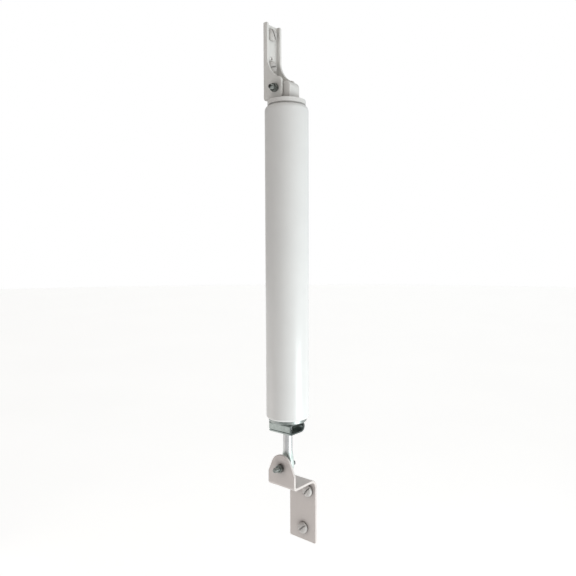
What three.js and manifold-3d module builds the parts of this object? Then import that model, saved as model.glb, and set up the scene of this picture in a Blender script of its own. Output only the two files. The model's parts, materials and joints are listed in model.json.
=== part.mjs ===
// A pneumatic closer for a light screen, storm or shutter door, in millimetres.
//
// Frame: X = 0 is the door bracket's mounting face and +X leads away from the door, Y runs along
// both pins, +Z is up with the rod's end lowest, and the origin lies midway between the two
// screws of the door bracket. The rod is pushed fully in.

import * as THREE from "three";
import { mergeVertices } from "three/addons/utils/BufferGeometryUtils.js";
import Module from "manifold-3d";

const wasm = await Module();
wasm.setup();

// Shared sizes
const GAP = 0.3; // clearance between pieces that touch on the real closer
const SHEET = 2.0; // thickness of both stamped brackets
const PIN_RADIUS = 1.8;
const PIN_HOLE_RADIUS = 2.1;
const NUT_ACROSS_FLATS = 5.5;
const NUT_HEIGHT = 3.0;

// Tube, which stands on its own axis at AXIS_X
const AXIS_X = 16.5;
const TUBE_RADIUS = 16.0;
const TUBE_WALL = 0.9;
const TUBE_BORE_RADIUS = TUBE_RADIUS - TUBE_WALL;
const PLUG_RADIUS = TUBE_BORE_RADIUS - GAP;
const TOP_ROLL_Z = -46.3;
const TOP_ROLL_RADIUS = 3.5;
const BOTTOM_ROLL_Z = -269.7;
const BOTTOM_ROLL_RADIUS = 2.0;

// Door bracket
const DOOR_PIN_X = 13.0;
const DOOR_PIN_Z = -30.4;
const CHANNEL_HALF_WIDTH = 8.0;
const CHANNEL_BEND = 2.2;
const CHANNEL_INNER_BEND = 0.6;
const FLANGE_DEPTH = 5.0;
const EAR_FRONT = 18.3;
const EAR_TOP_Z = DOOR_PIN_Z + 8.0;
const EAR_TOP_CORNER = 3.3;
const EAR_BOTTOM_Z = DOOR_PIN_Z - 7.6;
const FLARE_TOP_Z = DOOR_PIN_Z + 21.9;
const CHANNEL_TOP_Z = 18.6;
const DOOR_SCREW_Z = 11.6; // one screw this far above the origin, the other below
const SCREW_HOLE_RADIUS = 2.6;
const PILOT_HOLE_Z = -5.1; // a small third hole over the lower screw
const PILOT_HOLE_RADIUS = 1.3;

// Rear cap and its lug
const CAP_FACE_Z = -39.0;
const CAP_LIP_RADIUS = 14.0;
const CAP_NECK_RADIUS = 13.1;
const CAP_BOTTOM_Z = -60.6;
const SEAL_Z = -51.8;
const LUG_HALF_THICKNESS = 5.7;
const LUG_TOP_Z = DOOR_PIN_Z + 4.5;
const LUG_BACK = -12.9; // towards the door, from the tube's axis
const LUG_FRONT = 7.7;
const LUG_CORNER = 4.2;
const SPEED_SCREW_Y = 10.2;
const SPEED_SCREW_HOLE_RADIUS = 1.4;

// Rod, piston and spring
const ROD_RADIUS = 3.5;
const STUD_RADIUS = 2.5;
const STUD_HOLE_RADIUS = 2.8;
const STUD_TOP_Z = -64.5;
const ROD_SHOULDER_Z = -80.0;
const SPRING_RADIUS = 8.0;
const SPRING_WIRE_RADIUS = 1.1;
const SPRING_TURNS = 18;
const SPRING_TOP_Z = -79.1;
const SPRING_BOTTOM_Z = -260.9;

// Front cap
const FRONT_CAP_TOP_Z = -264.1;
const FRONT_CAP_BOTTOM_Z = -274.2;
const FRONT_NOSE_RADIUS = 14.2;
const ROD_HOLE_RADIUS = 3.9;

// Hold-open washer
const CLIP_TOP_Z = -274.7;
const CLIP_BOTTOM_Z = -282.7;
const CLIP_HALF_WIDTH = 8.7;
const CLIP_BACK = -11.2; // the rod's hole is off the middle of its length
const CLIP_FRONT = 9.5;
const CLIP_SHEET = 1.2;

// Jamb bracket
const JAMB_PIN_Z = -308.6;
const STRIP_HALF_WIDTH = 12.7;
const EAR_Y = -8.0; // outer face of the ear
const PLATE_Y = 19.5; // mounting face of the screw plate
const EAR_TOP_ABOVE_PIN = 9.7;
const SHELF_TOP_Z = -321.8;
const PLATE_BOTTOM_Z = -372.8;
const EAR_BEND = 3.0;
const EAR_INNER_BEND = 1.0;
const PLATE_BEND = 6.5;
const PLATE_INNER_BEND = 4.5;
const EYE_HALF_THICKNESS = 2.3;
const EYE_RADIUS = 4.8;
const JAMB_SCREWS = { upper: { x: 5.5, z: -332.6 }, lower: { x: 0.9, z: -362.9 } };

// ---- Materials ----

function material(color, roughness, metalness) {
  return new THREE.MeshStandardMaterial({ color, roughness, metalness });
}

const whitePaint = () => material(0xecebe7, 0.42, 0.0);
const whiteCasting = () => material(0xe4e3df, 0.5, 0.0);
const zincPlate = () => material(0x9ba4a3, 0.38, 0.85);
const darkZinc = () => material(0x6f7472, 0.45, 0.85);
const brightSteel = () => material(0xc9cccd, 0.22, 0.95);
const springSteel = () => material(0x6e7072, 0.4, 0.9);
const blackRubber = () => material(0x1d1d1e, 0.85, 0.0);
const greyFelt = () => material(0x54524e, 0.95, 0.0);
const nylon = () => material(0xdad8cf, 0.55, 0.0);
const brass = () => material(0xb08d4a, 0.35, 0.9);

// ---- Solids ----

function signedVolume(geometry) {
  const position = geometry.attributes.position;
  const index = geometry.index;
  const count = index ? index.count : position.count;
  const corner = [new THREE.Vector3(), new THREE.Vector3(), new THREE.Vector3()];
  let volume = 0;
  for (let i = 0; i < count; i += 3) {
    for (let k = 0; k < 3; k += 1) {
      corner[k].fromBufferAttribute(position, index ? index.getX(i + k) : i + k);
    }
    volume += corner[0].dot(corner[1].clone().cross(corner[2])) / 6;
  }
  return volume;
}

// The solid of a closed geometry, whichever way its faces were wound.
function solidOf(geometry) {
  const bare = geometry.clone();
  bare.deleteAttribute("normal");
  bare.deleteAttribute("uv");
  const merged = mergeVertices(bare, 1e-4);
  const flip = signedVolume(merged) < 0;
  const corners = [];
  for (let i = 0; i < merged.index.count; i += 3) {
    const [a, b, c] = [0, 1, 2].map((k) => merged.index.getX(i + k));
    if (a !== b && b !== c && c !== a) {
      corners.push(a, flip ? c : b, flip ? b : c);
    }
  }
  const mesh = new wasm.Mesh({
    numProp: 3,
    vertProperties: merged.attributes.position.array,
    triVerts: Uint32Array.from(corners),
  });
  return new wasm.Manifold(mesh);
}

function geometryOf(solid) {
  const mesh = solid.getMesh();
  const geometry = new THREE.BufferGeometry();
  geometry.setAttribute("position", new THREE.BufferAttribute(mesh.vertProperties, 3));
  geometry.setIndex(new THREE.BufferAttribute(mesh.triVerts, 1));
  geometry.computeVertexNormals();
  return geometry;
}

function cut(body, ...tools) {
  const solid = tools.reduce((left, tool) => left.subtract(solidOf(tool)), solidOf(body));
  return geometryOf(solid);
}

function join(...bodies) {
  const [first, ...rest] = bodies.map(solidOf);
  return geometryOf(rest.reduce((whole, body) => whole.add(body), first));
}

function common(...bodies) {
  const [first, ...rest] = bodies.map(solidOf);
  return geometryOf(rest.reduce((whole, body) => whole.intersect(body), first));
}

// ---- Simple shapes ----

// A [radius, height] profile turned about Z. The profile starts and ends on the axis.
function turned(profile, sides = 36) {
  const points = profile.map(([radius, height]) => new THREE.Vector2(radius, height));
  const geometry = new THREE.LatheGeometry(points, sides);
  geometry.rotateX(Math.PI / 2);
  return geometryOf(solidOf(geometry));
}

// The same for a ring, whose profile closes on itself.
function turnedRing(profile, sides = 36) {
  return turned([...profile, profile[0]], sides);
}

// The same about Y, with the profile's heights read as Y.
function turnedAlongY(profile, sides = 20) {
  const points = profile.map(([radius, height]) => new THREE.Vector2(radius, height));
  return geometryOf(solidOf(new THREE.LatheGeometry(points, sides)));
}

function cylinderX(radius, from, to, y, z, sides = 24) {
  const geometry = new THREE.CylinderGeometry(radius, radius, to - from, sides);
  geometry.rotateZ(Math.PI / 2);
  geometry.translate((from + to) / 2, y, z);
  return geometry;
}

function cylinderY(radius, from, to, x, z, sides = 24) {
  const geometry = new THREE.CylinderGeometry(radius, radius, to - from, sides);
  geometry.translate(x, (from + to) / 2, z);
  return geometry;
}

function cylinderZ(radius, from, to, x, y, sides = 24) {
  const geometry = new THREE.CylinderGeometry(radius, radius, to - from, sides);
  geometry.rotateX(Math.PI / 2);
  geometry.translate(x, y, (from + to) / 2);
  return geometry;
}

function box(x, y, z) {
  const geometry = new THREE.BoxGeometry(x[1] - x[0], y[1] - y[0], z[1] - z[0]);
  geometry.translate((x[0] + x[1]) / 2, (y[0] + y[1]) / 2, (z[0] + z[1]) / 2);
  return geometry;
}

function extrude(shape, depth, curveSegments = 8) {
  return new THREE.ExtrudeGeometry(shape, { depth, bevelEnabled: false, curveSegments });
}

// A shape drawn in X and Z, extruded from one Y to another.
function alongY(shape, from, to, curveSegments) {
  const geometry = extrude(shape, to - from, curveSegments);
  geometry.rotateX(Math.PI / 2);
  geometry.translate(0, to, 0);
  return geometry;
}

// A shape drawn in Y and Z, extruded from one X to another.
function alongX(shape, from, to, curveSegments) {
  const geometry = extrude(shape, to - from, curveSegments);
  geometry.rotateX(Math.PI / 2);
  geometry.rotateZ(Math.PI / 2);
  geometry.translate(from, 0, 0);
  return geometry;
}

// A shape drawn in X and Y, extruded from one Z to another.
function alongZ(shape, from, to, curveSegments) {
  const geometry = extrude(shape, to - from, curveSegments);
  geometry.translate(0, 0, from);
  return geometry;
}

// Points of an arc as [radius, height] pairs, angles in degrees from the outward direction.
function arcPoints(centreRadius, centreHeight, radius, fromDeg, toDeg, steps) {
  const points = [];
  for (let i = 0; i <= steps; i += 1) {
    const angle = THREE.MathUtils.degToRad(fromDeg + ((toDeg - fromDeg) * i) / steps);
    points.push([
      centreRadius + radius * Math.cos(angle),
      centreHeight + radius * Math.sin(angle),
    ]);
  }
  return points;
}

// ---- Fasteners ----

// A slotted pan-head screw standing along +Z, with the underside of its head at 0.
function panHeadScrew(headRadius, headHeight, shankRadius, shankLength) {
  const body = turned(
    [
      [0, -shankLength],
      [shankRadius, -shankLength],
      [shankRadius, 0],
      [headRadius * 0.97, 0],
      [headRadius, headHeight * 0.15],
      [headRadius * 0.96, headHeight * 0.55],
      [headRadius * 0.76, headHeight * 0.88],
      [headRadius * 0.4, headHeight],
      [0, headHeight],
    ],
    20,
  );
  const slot = box([-headRadius * 1.1, headRadius * 1.1], [-0.6, 0.6], [headHeight * 0.5, 9]);
  return cut(body, slot);
}

// A hexagon nut on the Y axis, between two Y values.
function nutAlongY(acrossFlats, holeRadius, from, to) {
  const corner = acrossFlats / Math.sqrt(3);
  const blank = cylinderY(corner, from, to, 0, 0, 6);
  const half = (to - from) / 2;
  const chamfers = turnedAlongY(
    [
      [0, from],
      [corner * 0.9, from],
      [corner * 1.02, from + half * 0.35],
      [corner * 1.02, to - half * 0.35],
      [corner * 0.9, to],
      [0, to],
    ],
    24,
  );
  return cut(common(blank, chamfers), cylinderY(holeRadius, from - 1, to + 1, 0, 0, 20));
}

// ---- Door bracket ----

// Cross-section of the U-channel, open towards +X.
function channelSection() {
  const w = CHANNEL_HALF_WIDTH;
  const inner = CHANNEL_INNER_BEND;
  const outer = CHANNEL_BEND;
  const shape = new THREE.Shape();
  shape.moveTo(EAR_FRONT + 1, -w);
  shape.lineTo(EAR_FRONT + 1, -w + SHEET);
  shape.lineTo(SHEET + inner, -w + SHEET);
  shape.absarc(SHEET + inner, -w + SHEET + inner, inner, -Math.PI / 2, -Math.PI, true);
  shape.lineTo(SHEET, w - SHEET - inner);
  shape.absarc(SHEET + inner, w - SHEET - inner, inner, Math.PI, Math.PI / 2, true);
  shape.lineTo(EAR_FRONT + 1, w - SHEET);
  shape.lineTo(EAR_FRONT + 1, w);
  shape.lineTo(outer, w);
  shape.absarc(outer, w - outer, outer, Math.PI / 2, Math.PI, false);
  shape.lineTo(0, -w + outer);
  shape.absarc(outer, -w + outer, outer, Math.PI, 1.5 * Math.PI, false);
  return shape;
}

// Side outline of the channel: low flanges that flare into the two ears.
function channelOutline() {
  const corner = 3.5;
  const top = EAR_TOP_CORNER;
  const shape = new THREE.Shape();
  shape.moveTo(-1, CHANNEL_TOP_Z);
  shape.lineTo(FLANGE_DEPTH - 1, CHANNEL_TOP_Z);
  shape.absarc(FLANGE_DEPTH - 1, CHANNEL_TOP_Z - 1, 1, Math.PI / 2, 0, true);
  shape.lineTo(FLANGE_DEPTH, FLARE_TOP_Z);
  shape.bezierCurveTo(
    FLANGE_DEPTH + 0.4,
    FLARE_TOP_Z - 4,
    FLANGE_DEPTH + 3.2,
    EAR_TOP_Z + 3.2,
    EAR_FRONT - top,
    EAR_TOP_Z,
  );
  shape.absarc(EAR_FRONT - top, EAR_TOP_Z - top, top, Math.PI / 2, 0, true);
  shape.lineTo(EAR_FRONT, EAR_BOTTOM_Z + corner);
  shape.absarc(EAR_FRONT - corner, EAR_BOTTOM_Z + corner, corner, 0, -Math.PI / 2, true);
  shape.lineTo(3, EAR_BOTTOM_Z);
  shape.absarc(3, EAR_BOTTOM_Z + 3, 3, -Math.PI / 2, -Math.PI, true);
  shape.lineTo(-1, EAR_BOTTOM_Z + 3);
  return shape;
}

function doorBracket() {
  const channel = common(
    alongZ(channelSection(), EAR_BOTTOM_Z - 1, CHANNEL_TOP_Z + 1, 5),
    alongY(channelOutline(), -20, 20, 10),
  );
  return cut(
    channel,
    cylinderX(SCREW_HOLE_RADIUS, -2, 6, 0, DOOR_SCREW_Z),
    cylinderX(SCREW_HOLE_RADIUS, -2, 6, 0, -DOOR_SCREW_Z),
    cylinderX(PILOT_HOLE_RADIUS, -2, 6, 0, PILOT_HOLE_Z, 16),
    cylinderY(PIN_HOLE_RADIUS, -20, 20, DOOR_PIN_X, DOOR_PIN_Z),
  );
}

// The bolt's plain end stands out past the nut, and its low head is on the far ear.
function doorPin() {
  return turnedAlongY([
    [0, -14.5],
    [PIN_RADIUS - 0.4, -14.5],
    [PIN_RADIUS, -14.1],
    [PIN_RADIUS, 8.3],
    [3.2, 8.3],
    [3.2, 9.2],
    [2.6, 10.0],
    [0, 10.3],
  ]);
}

function doorPinNut() {
  const face = -CHANNEL_HALF_WIDTH - GAP;
  return nutAlongY(NUT_ACROSS_FLATS, PIN_HOLE_RADIUS, face - NUT_HEIGHT, face);
}

// ---- Tube and caps, on the tube's axis ----

function tube() {
  const topCentre = TUBE_RADIUS - TOP_ROLL_RADIUS;
  const bottomCentre = TUBE_RADIUS - BOTTOM_ROLL_RADIUS;
  const topInner = TOP_ROLL_RADIUS - TUBE_WALL;
  const bottomInner = BOTTOM_ROLL_RADIUS - TUBE_WALL;
  return turnedRing(
    [
      ...arcPoints(bottomCentre, BOTTOM_ROLL_Z, BOTTOM_ROLL_RADIUS, -63, 0, 3),
      ...arcPoints(topCentre, TOP_ROLL_Z, TOP_ROLL_RADIUS, 0, 65, 4),
      ...arcPoints(topCentre, TOP_ROLL_Z, topInner, 65, 0, 3),
      ...arcPoints(bottomCentre, BOTTOM_ROLL_Z, bottomInner, 0, -63, 2),
    ],
    48,
  );
}

// A block between the bracket's ears, with its two top corners rounded.
function lug() {
  const r = LUG_CORNER;
  const shape = new THREE.Shape();
  shape.moveTo(LUG_FRONT, CAP_FACE_Z - 1);
  shape.absarc(LUG_FRONT - r, LUG_TOP_Z - r, r, 0, Math.PI / 2, false);
  shape.absarc(LUG_BACK + r, LUG_TOP_Z - r, r, Math.PI / 2, Math.PI, false);
  shape.lineTo(LUG_BACK, CAP_FACE_Z - 1);
  return common(
    alongY(shape, -LUG_HALF_THICKNESS, LUG_HALF_THICKNESS, 8),
    cylinderZ(CAP_LIP_RADIUS, CAP_FACE_Z - 2, 0, 0, 0, 40),
  );
}

function rearCap() {
  const plug = turned([
    [0, CAP_FACE_Z],
    [CAP_LIP_RADIUS - 0.3, CAP_FACE_Z],
    [CAP_LIP_RADIUS, CAP_FACE_Z - 0.3],
    [CAP_LIP_RADIUS, CAP_FACE_Z - 3.1],
    [CAP_NECK_RADIUS, CAP_FACE_Z - 3.3],
    [CAP_NECK_RADIUS, CAP_FACE_Z - 4.9],
    [13.9, CAP_FACE_Z - 5.5],
    [14.5, CAP_FACE_Z - 6.4],
    [PLUG_RADIUS, CAP_FACE_Z - 7.4],
    [PLUG_RADIUS, SEAL_Z + 1.4],
    [12.4, SEAL_Z + 1.4],
    [12.4, SEAL_Z - 1.4],
    [PLUG_RADIUS, SEAL_Z - 1.4],
    [PLUG_RADIUS, CAP_BOTTOM_Z + 0.6],
    [PLUG_RADIUS - 0.6, CAP_BOTTOM_Z],
    [0, CAP_BOTTOM_Z],
  ]);
  return cut(
    join(plug, lug()),
    cylinderY(PIN_RADIUS + 0.25, -20, 20, DOOR_PIN_X - AXIS_X, DOOR_PIN_Z),
    cylinderZ(SPEED_SCREW_HOLE_RADIUS, CAP_BOTTOM_Z - 1, 0, 0, SPEED_SCREW_Y, 16),
  );
}

function rearCapSeal() {
  const ring = new THREE.TorusGeometry(13.75, 1.05, 8, 30);
  ring.translate(0, 0, SEAL_Z);
  return ring;
}

function speedScrew() {
  const face = CAP_FACE_Z + GAP;
  const body = turned(
    [
      [0, CAP_FACE_Z - 14],
      [0.4, CAP_FACE_Z - 14],
      [1.1, CAP_FACE_Z - 11.5],
      [1.1, face],
      [1.9, face],
      [1.9, face + 1.4],
      [1.5, face + 1.9],
      [0, face + 1.9],
    ],
    16,
  );
  return cut(body, box([-3, 3], [-0.3, 0.3], [face + 0.9, face + 3]));
}

function bumper() {
  const top = CAP_BOTTOM_Z - GAP;
  return turned(
    [
      [0, top],
      [8.0, top],
      [8.0, top - 2.4],
      [7.4, top - 3.0],
      [0, top - 3.0],
    ],
    28,
  );
}

function frontCap() {
  const rollCentre = TUBE_RADIUS - BOTTOM_ROLL_RADIUS;
  const recessTop = FRONT_CAP_BOTTOM_Z + 2.4;
  return turnedRing([
    [ROD_HOLE_RADIUS, FRONT_CAP_TOP_Z],
    [PLUG_RADIUS - 0.5, FRONT_CAP_TOP_Z],
    [PLUG_RADIUS, FRONT_CAP_TOP_Z - 0.5],
    ...arcPoints(rollCentre, BOTTOM_ROLL_Z, 0.8, 0, -63, 2),
    [FRONT_NOSE_RADIUS, BOTTOM_ROLL_Z - 0.9],
    [FRONT_NOSE_RADIUS, FRONT_CAP_BOTTOM_Z + 0.4],
    [FRONT_NOSE_RADIUS - 0.4, FRONT_CAP_BOTTOM_Z],
    [6.2, FRONT_CAP_BOTTOM_Z],
    [6.2, recessTop],
    [ROD_HOLE_RADIUS, recessTop],
  ]);
}

function rodWiper() {
  const top = FRONT_CAP_BOTTOM_Z + 2.1;
  return turnedRing(
    [
      [ROD_RADIUS + GAP, top],
      [5.9, top],
      [5.9, FRONT_CAP_BOTTOM_Z],
      [ROD_RADIUS + GAP, FRONT_CAP_BOTTOM_Z],
    ],
    24,
  );
}

function springSeat() {
  const top = FRONT_CAP_TOP_Z + GAP + 1.5;
  return turnedRing(
    [
      [ROD_HOLE_RADIUS + 0.2, top],
      [12, top],
      [12, top - 1.5],
      [ROD_HOLE_RADIUS + 0.2, top - 1.5],
    ],
    32,
  );
}

// ---- Spring, piston and rod, on the tube's axis ----

class Helix extends THREE.Curve {
  getPoint(t, target = new THREE.Vector3()) {
    const angle = 2 * Math.PI * SPRING_TURNS * t;
    return target.set(
      SPRING_RADIUS * Math.cos(angle),
      SPRING_RADIUS * Math.sin(angle),
      THREE.MathUtils.lerp(SPRING_BOTTOM_Z, SPRING_TOP_Z, t),
    );
  }
}

function returnSpring() {
  const wire = new THREE.Shape();
  wire.absarc(0, 0, SPRING_WIRE_RADIUS, 0, 2 * Math.PI, false);
  return new THREE.ExtrudeGeometry(wire, {
    steps: SPRING_TURNS * 12,
    curveSegments: 3,
    extrudePath: new Helix(),
  });
}

function pistonNut() {
  const nut = nutAlongY(8, STUD_HOLE_RADIUS, -1.6, 1.6);
  nut.rotateX(Math.PI / 2);
  nut.translate(0, 0, STUD_TOP_Z - 2.1);
  return nut;
}

function pistonWasher() {
  return turnedRing(
    [
      [STUD_HOLE_RADIUS, -68.5],
      [8.5, -68.5],
      [8.5, -69.7],
      [STUD_HOLE_RADIUS, -69.7],
    ],
    28,
  );
}

// A cup whose lip opens towards the rear cap.
function pistonCup() {
  return turnedRing(
    [
      [STUD_HOLE_RADIUS, -72.4],
      [13.6, -72.4],
      [14.2, -71.6],
      [PLUG_RADIUS, -67.0],
      [14.4, -66.4],
      [13.4, -66.9],
      [12.8, -70.0],
      [STUD_HOLE_RADIUS, -70.0],
    ],
    36,
  );
}

// A disc with a groove under it for the spring's end.
function piston() {
  const bottom = ROD_SHOULDER_Z + GAP;
  return turnedRing(
    [
      [STUD_HOLE_RADIUS, -72.7],
      [PLUG_RADIUS - 0.4, -72.7],
      [PLUG_RADIUS, -73.1],
      [PLUG_RADIUS, bottom],
      [10.6, bottom],
      [10.6, bottom + 2.0],
      [5.9, bottom + 2.0],
      [5.9, bottom],
      [STUD_HOLE_RADIUS, bottom],
    ],
    36,
  );
}

// The rod's end seen along Y: it widens into the round eye.
function eyeFrontOutline() {
  const shape = new THREE.Shape();
  shape.moveTo(-ROD_RADIUS, JAMB_PIN_Z + 30);
  shape.lineTo(-ROD_RADIUS, JAMB_PIN_Z + 11.5);
  shape.bezierCurveTo(
    -ROD_RADIUS,
    JAMB_PIN_Z + 8,
    -EYE_RADIUS,
    JAMB_PIN_Z + 7,
    -EYE_RADIUS,
    JAMB_PIN_Z,
  );
  shape.absarc(0, JAMB_PIN_Z, EYE_RADIUS, Math.PI, 2 * Math.PI, false);
  shape.bezierCurveTo(
    EYE_RADIUS,
    JAMB_PIN_Z + 7,
    ROD_RADIUS,
    JAMB_PIN_Z + 8,
    ROD_RADIUS,
    JAMB_PIN_Z + 11.5,
  );
  shape.lineTo(ROD_RADIUS, JAMB_PIN_Z + 30);
  return shape;
}

// The rod's end seen along X: it is pressed thinner towards the eye.
function eyeSideOutline() {
  const shape = new THREE.Shape();
  shape.moveTo(-ROD_RADIUS, JAMB_PIN_Z + 30);
  shape.lineTo(-ROD_RADIUS, JAMB_PIN_Z + 11.5);
  shape.lineTo(-EYE_HALF_THICKNESS, JAMB_PIN_Z + 6);
  shape.lineTo(-EYE_HALF_THICKNESS, JAMB_PIN_Z - 10);
  shape.lineTo(EYE_HALF_THICKNESS, JAMB_PIN_Z - 10);
  shape.lineTo(EYE_HALF_THICKNESS, JAMB_PIN_Z + 6);
  shape.lineTo(ROD_RADIUS, JAMB_PIN_Z + 11.5);
  shape.lineTo(ROD_RADIUS, JAMB_PIN_Z + 30);
  return shape;
}

function pistonRod() {
  const blank = turned(
    [
      [0, STUD_TOP_Z],
      [STUD_RADIUS - 0.3, STUD_TOP_Z],
      [STUD_RADIUS, STUD_TOP_Z - 0.3],
      [STUD_RADIUS, ROD_SHOULDER_Z],
      [ROD_RADIUS, ROD_SHOULDER_Z],
      [ROD_RADIUS, JAMB_PIN_Z + 11.5],
      [EYE_RADIUS + 0.6, JAMB_PIN_Z + 3],
      [EYE_RADIUS + 0.6, JAMB_PIN_Z - 10],
      [0, JAMB_PIN_Z - 10],
    ],
    24,
  );
  const eyeBlank = common(
    blank,
    alongY(eyeFrontOutline(), -10, 10, 10),
    alongX(eyeSideOutline(), -10, 10, 1),
  );
  const shank = common(blank, box([-20, 20], [-20, 20], [JAMB_PIN_Z + 25, 0]));
  return cut(
    join(shank, eyeBlank),
    cylinderY(PIN_HOLE_RADIUS, -10, 10, 0, JAMB_PIN_Z, 20),
  );
}

// ---- Hold-open washer, on the tube's axis ----

function clipLoop(inset) {
  const near = -CLIP_HALF_WIDTH + inset;
  const top = CLIP_TOP_Z - inset;
  const bottom = CLIP_BOTTOM_Z + inset;
  const nose = (top - bottom) / 2;
  const corner = 1.5 - inset;
  const shape = new THREE.Shape();
  shape.moveTo(near + corner, bottom);
  shape.lineTo(CLIP_HALF_WIDTH - inset - nose, bottom);
  shape.absarc(CLIP_HALF_WIDTH - inset - nose, (top + bottom) / 2, nose, -Math.PI / 2, Math.PI / 2);
  shape.lineTo(near + corner, top);
  shape.absarc(near + corner, top - corner, corner, Math.PI / 2, Math.PI, false);
  shape.lineTo(near, bottom + corner);
  shape.absarc(near + corner, bottom + corner, corner, Math.PI, 1.5 * Math.PI, false);
  return shape;
}

function roundedPlan(back, front, halfWidth, corner) {
  const y = halfWidth - corner;
  const shape = new THREE.Shape();
  shape.absarc(front - corner, y, corner, 0, Math.PI / 2, false);
  shape.absarc(back + corner, y, corner, Math.PI / 2, Math.PI, false);
  shape.absarc(back + corner, -y, corner, Math.PI, 1.5 * Math.PI, false);
  shape.absarc(front - corner, -y, corner, 1.5 * Math.PI, 2 * Math.PI, false);
  return shape;
}

// A strip folded into a flat loop round the rod, with its two ends meeting at the lower near edge.
function holdOpenWasher() {
  const loop = cut(
    alongX(clipLoop(0), CLIP_BACK, CLIP_FRONT, 6),
    alongX(clipLoop(CLIP_SHEET), -20, 20, 6),
  );
  const plan = roundedPlan(CLIP_BACK, CLIP_FRONT, CLIP_HALF_WIDTH + 1, 2);
  const seam = box(
    [-20, 20],
    [-CLIP_HALF_WIDTH - 1, -CLIP_HALF_WIDTH + 1.4],
    [CLIP_BOTTOM_Z + 1.6, CLIP_BOTTOM_Z + 2.0],
  );
  return cut(
    common(loop, alongZ(plan, CLIP_BOTTOM_Z - 1, CLIP_TOP_Z + 1, 4)),
    cylinderZ(ROD_HOLE_RADIUS, CLIP_BOTTOM_Z - 1, CLIP_TOP_Z + 1, 0, 0, 20),
    seam,
  );
}

// ---- Jamb bracket, on the rod's axis ----

// The strip seen along X: ear up, shelf across, screw plate down.
function stripSection() {
  const earTop = JAMB_PIN_Z + EAR_TOP_ABOVE_PIN;
  const shelfBottom = SHELF_TOP_Z - SHEET;
  const earOuter = EAR_Y + EAR_BEND;
  const earInner = EAR_Y + SHEET + EAR_INNER_BEND;
  const plateOuter = PLATE_Y - PLATE_BEND;
  const plateInner = PLATE_Y - SHEET - PLATE_INNER_BEND;
  const plateInnerZ = shelfBottom - PLATE_INNER_BEND;
  const down = 1.5 * Math.PI;
  const shape = new THREE.Shape();
  shape.moveTo(EAR_Y, earTop);
  shape.lineTo(EAR_Y, shelfBottom + EAR_BEND);
  shape.absarc(earOuter, shelfBottom + EAR_BEND, EAR_BEND, Math.PI, down, false);
  shape.lineTo(plateInner, shelfBottom);
  shape.absarc(plateInner, plateInnerZ, PLATE_INNER_BEND, Math.PI / 2, 0, true);
  shape.lineTo(PLATE_Y - SHEET, PLATE_BOTTOM_Z);
  shape.lineTo(PLATE_Y, PLATE_BOTTOM_Z);
  shape.lineTo(PLATE_Y, SHELF_TOP_Z - PLATE_BEND);
  shape.absarc(plateOuter, SHELF_TOP_Z - PLATE_BEND, PLATE_BEND, 0, Math.PI / 2, false);
  shape.lineTo(earInner, SHELF_TOP_Z);
  shape.absarc(earInner, SHELF_TOP_Z + EAR_INNER_BEND, EAR_INNER_BEND, down, Math.PI, true);
  shape.lineTo(EAR_Y + SHEET, earTop);
  return shape;
}

// The strip seen along Y: tapered ear with a round top, plate with eased corners.
function stripOutline() {
  const w = STRIP_HALF_WIDTH;
  const topRadius = 9.8;
  const shoulder = JAMB_PIN_Z - 4.5;
  const topCentre = JAMB_PIN_Z + EAR_TOP_ABOVE_PIN - topRadius;
  const easing = THREE.MathUtils.degToRad(24);
  const shape = new THREE.Shape();
  shape.absarc(0, topCentre, topRadius, easing, Math.PI - easing, false);
  shape.lineTo(-w, shoulder);
  shape.lineTo(-w, PLATE_BOTTOM_Z + 1.2);
  shape.absarc(-w + 1.2, PLATE_BOTTOM_Z + 1.2, 1.2, Math.PI, 1.5 * Math.PI, false);
  shape.absarc(w - 1.2, PLATE_BOTTOM_Z + 1.2, 1.2, 1.5 * Math.PI, 2 * Math.PI, false);
  shape.lineTo(w, shoulder);
  return shape;
}

function jambBracket() {
  const strip = common(
    alongX(stripSection(), -STRIP_HALF_WIDTH - 1, STRIP_HALF_WIDTH + 1, 6),
    alongY(stripOutline(), -30, 30, 12),
  );
  const screwHoles = Object.values(JAMB_SCREWS).map(({ x, z }) =>
    cylinderY(SCREW_HOLE_RADIUS, 10, 30, x, z),
  );
  return cut(
    strip,
    cylinderY(PIN_RADIUS + 0.25, -10, 0, 0, JAMB_PIN_Z),
    ...screwHoles,
  );
}

function jambPin() {
  return turnedAlongY([
    [0, EAR_Y - 7.7],
    [PIN_RADIUS - 0.4, EAR_Y - 7.7],
    [PIN_RADIUS, EAR_Y - 7.3],
    [PIN_RADIUS, 7.0],
    [PIN_RADIUS - 0.4, 7.4],
    [0, 7.4],
  ]);
}

function jambPinNut() {
  const face = EAR_Y - GAP;
  return nutAlongY(NUT_ACROSS_FLATS, PIN_HOLE_RADIUS, face - NUT_HEIGHT, face);
}

// Fills the room between the ear and the rod's eye.
function jambSpacer() {
  const from = EAR_Y + SHEET + GAP;
  const to = -EYE_HALF_THICKNESS - GAP;
  return cut(
    cylinderY(4.8, from, to, 0, 0),
    cylinderY(PIN_HOLE_RADIUS, from - 1, to + 1, 0, 0, 20),
  );
}

// ---- Assembly ----

const closer = new THREE.Group();

function add(name, geometry, finish, position = [0, 0, 0], rotation = [0, 0, 0]) {
  const mesh = new THREE.Mesh(geometry, finish);
  mesh.name = name;
  mesh.position.set(...position);
  mesh.rotation.set(...rotation);
  closer.add(mesh);
}

const onAxis = [AXIS_X, 0, 0];
const atDoorPin = [DOOR_PIN_X, 0, DOOR_PIN_Z];
const atJambPin = [AXIS_X, 0, JAMB_PIN_Z];
const rightAngle = Math.PI / 2;

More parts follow.
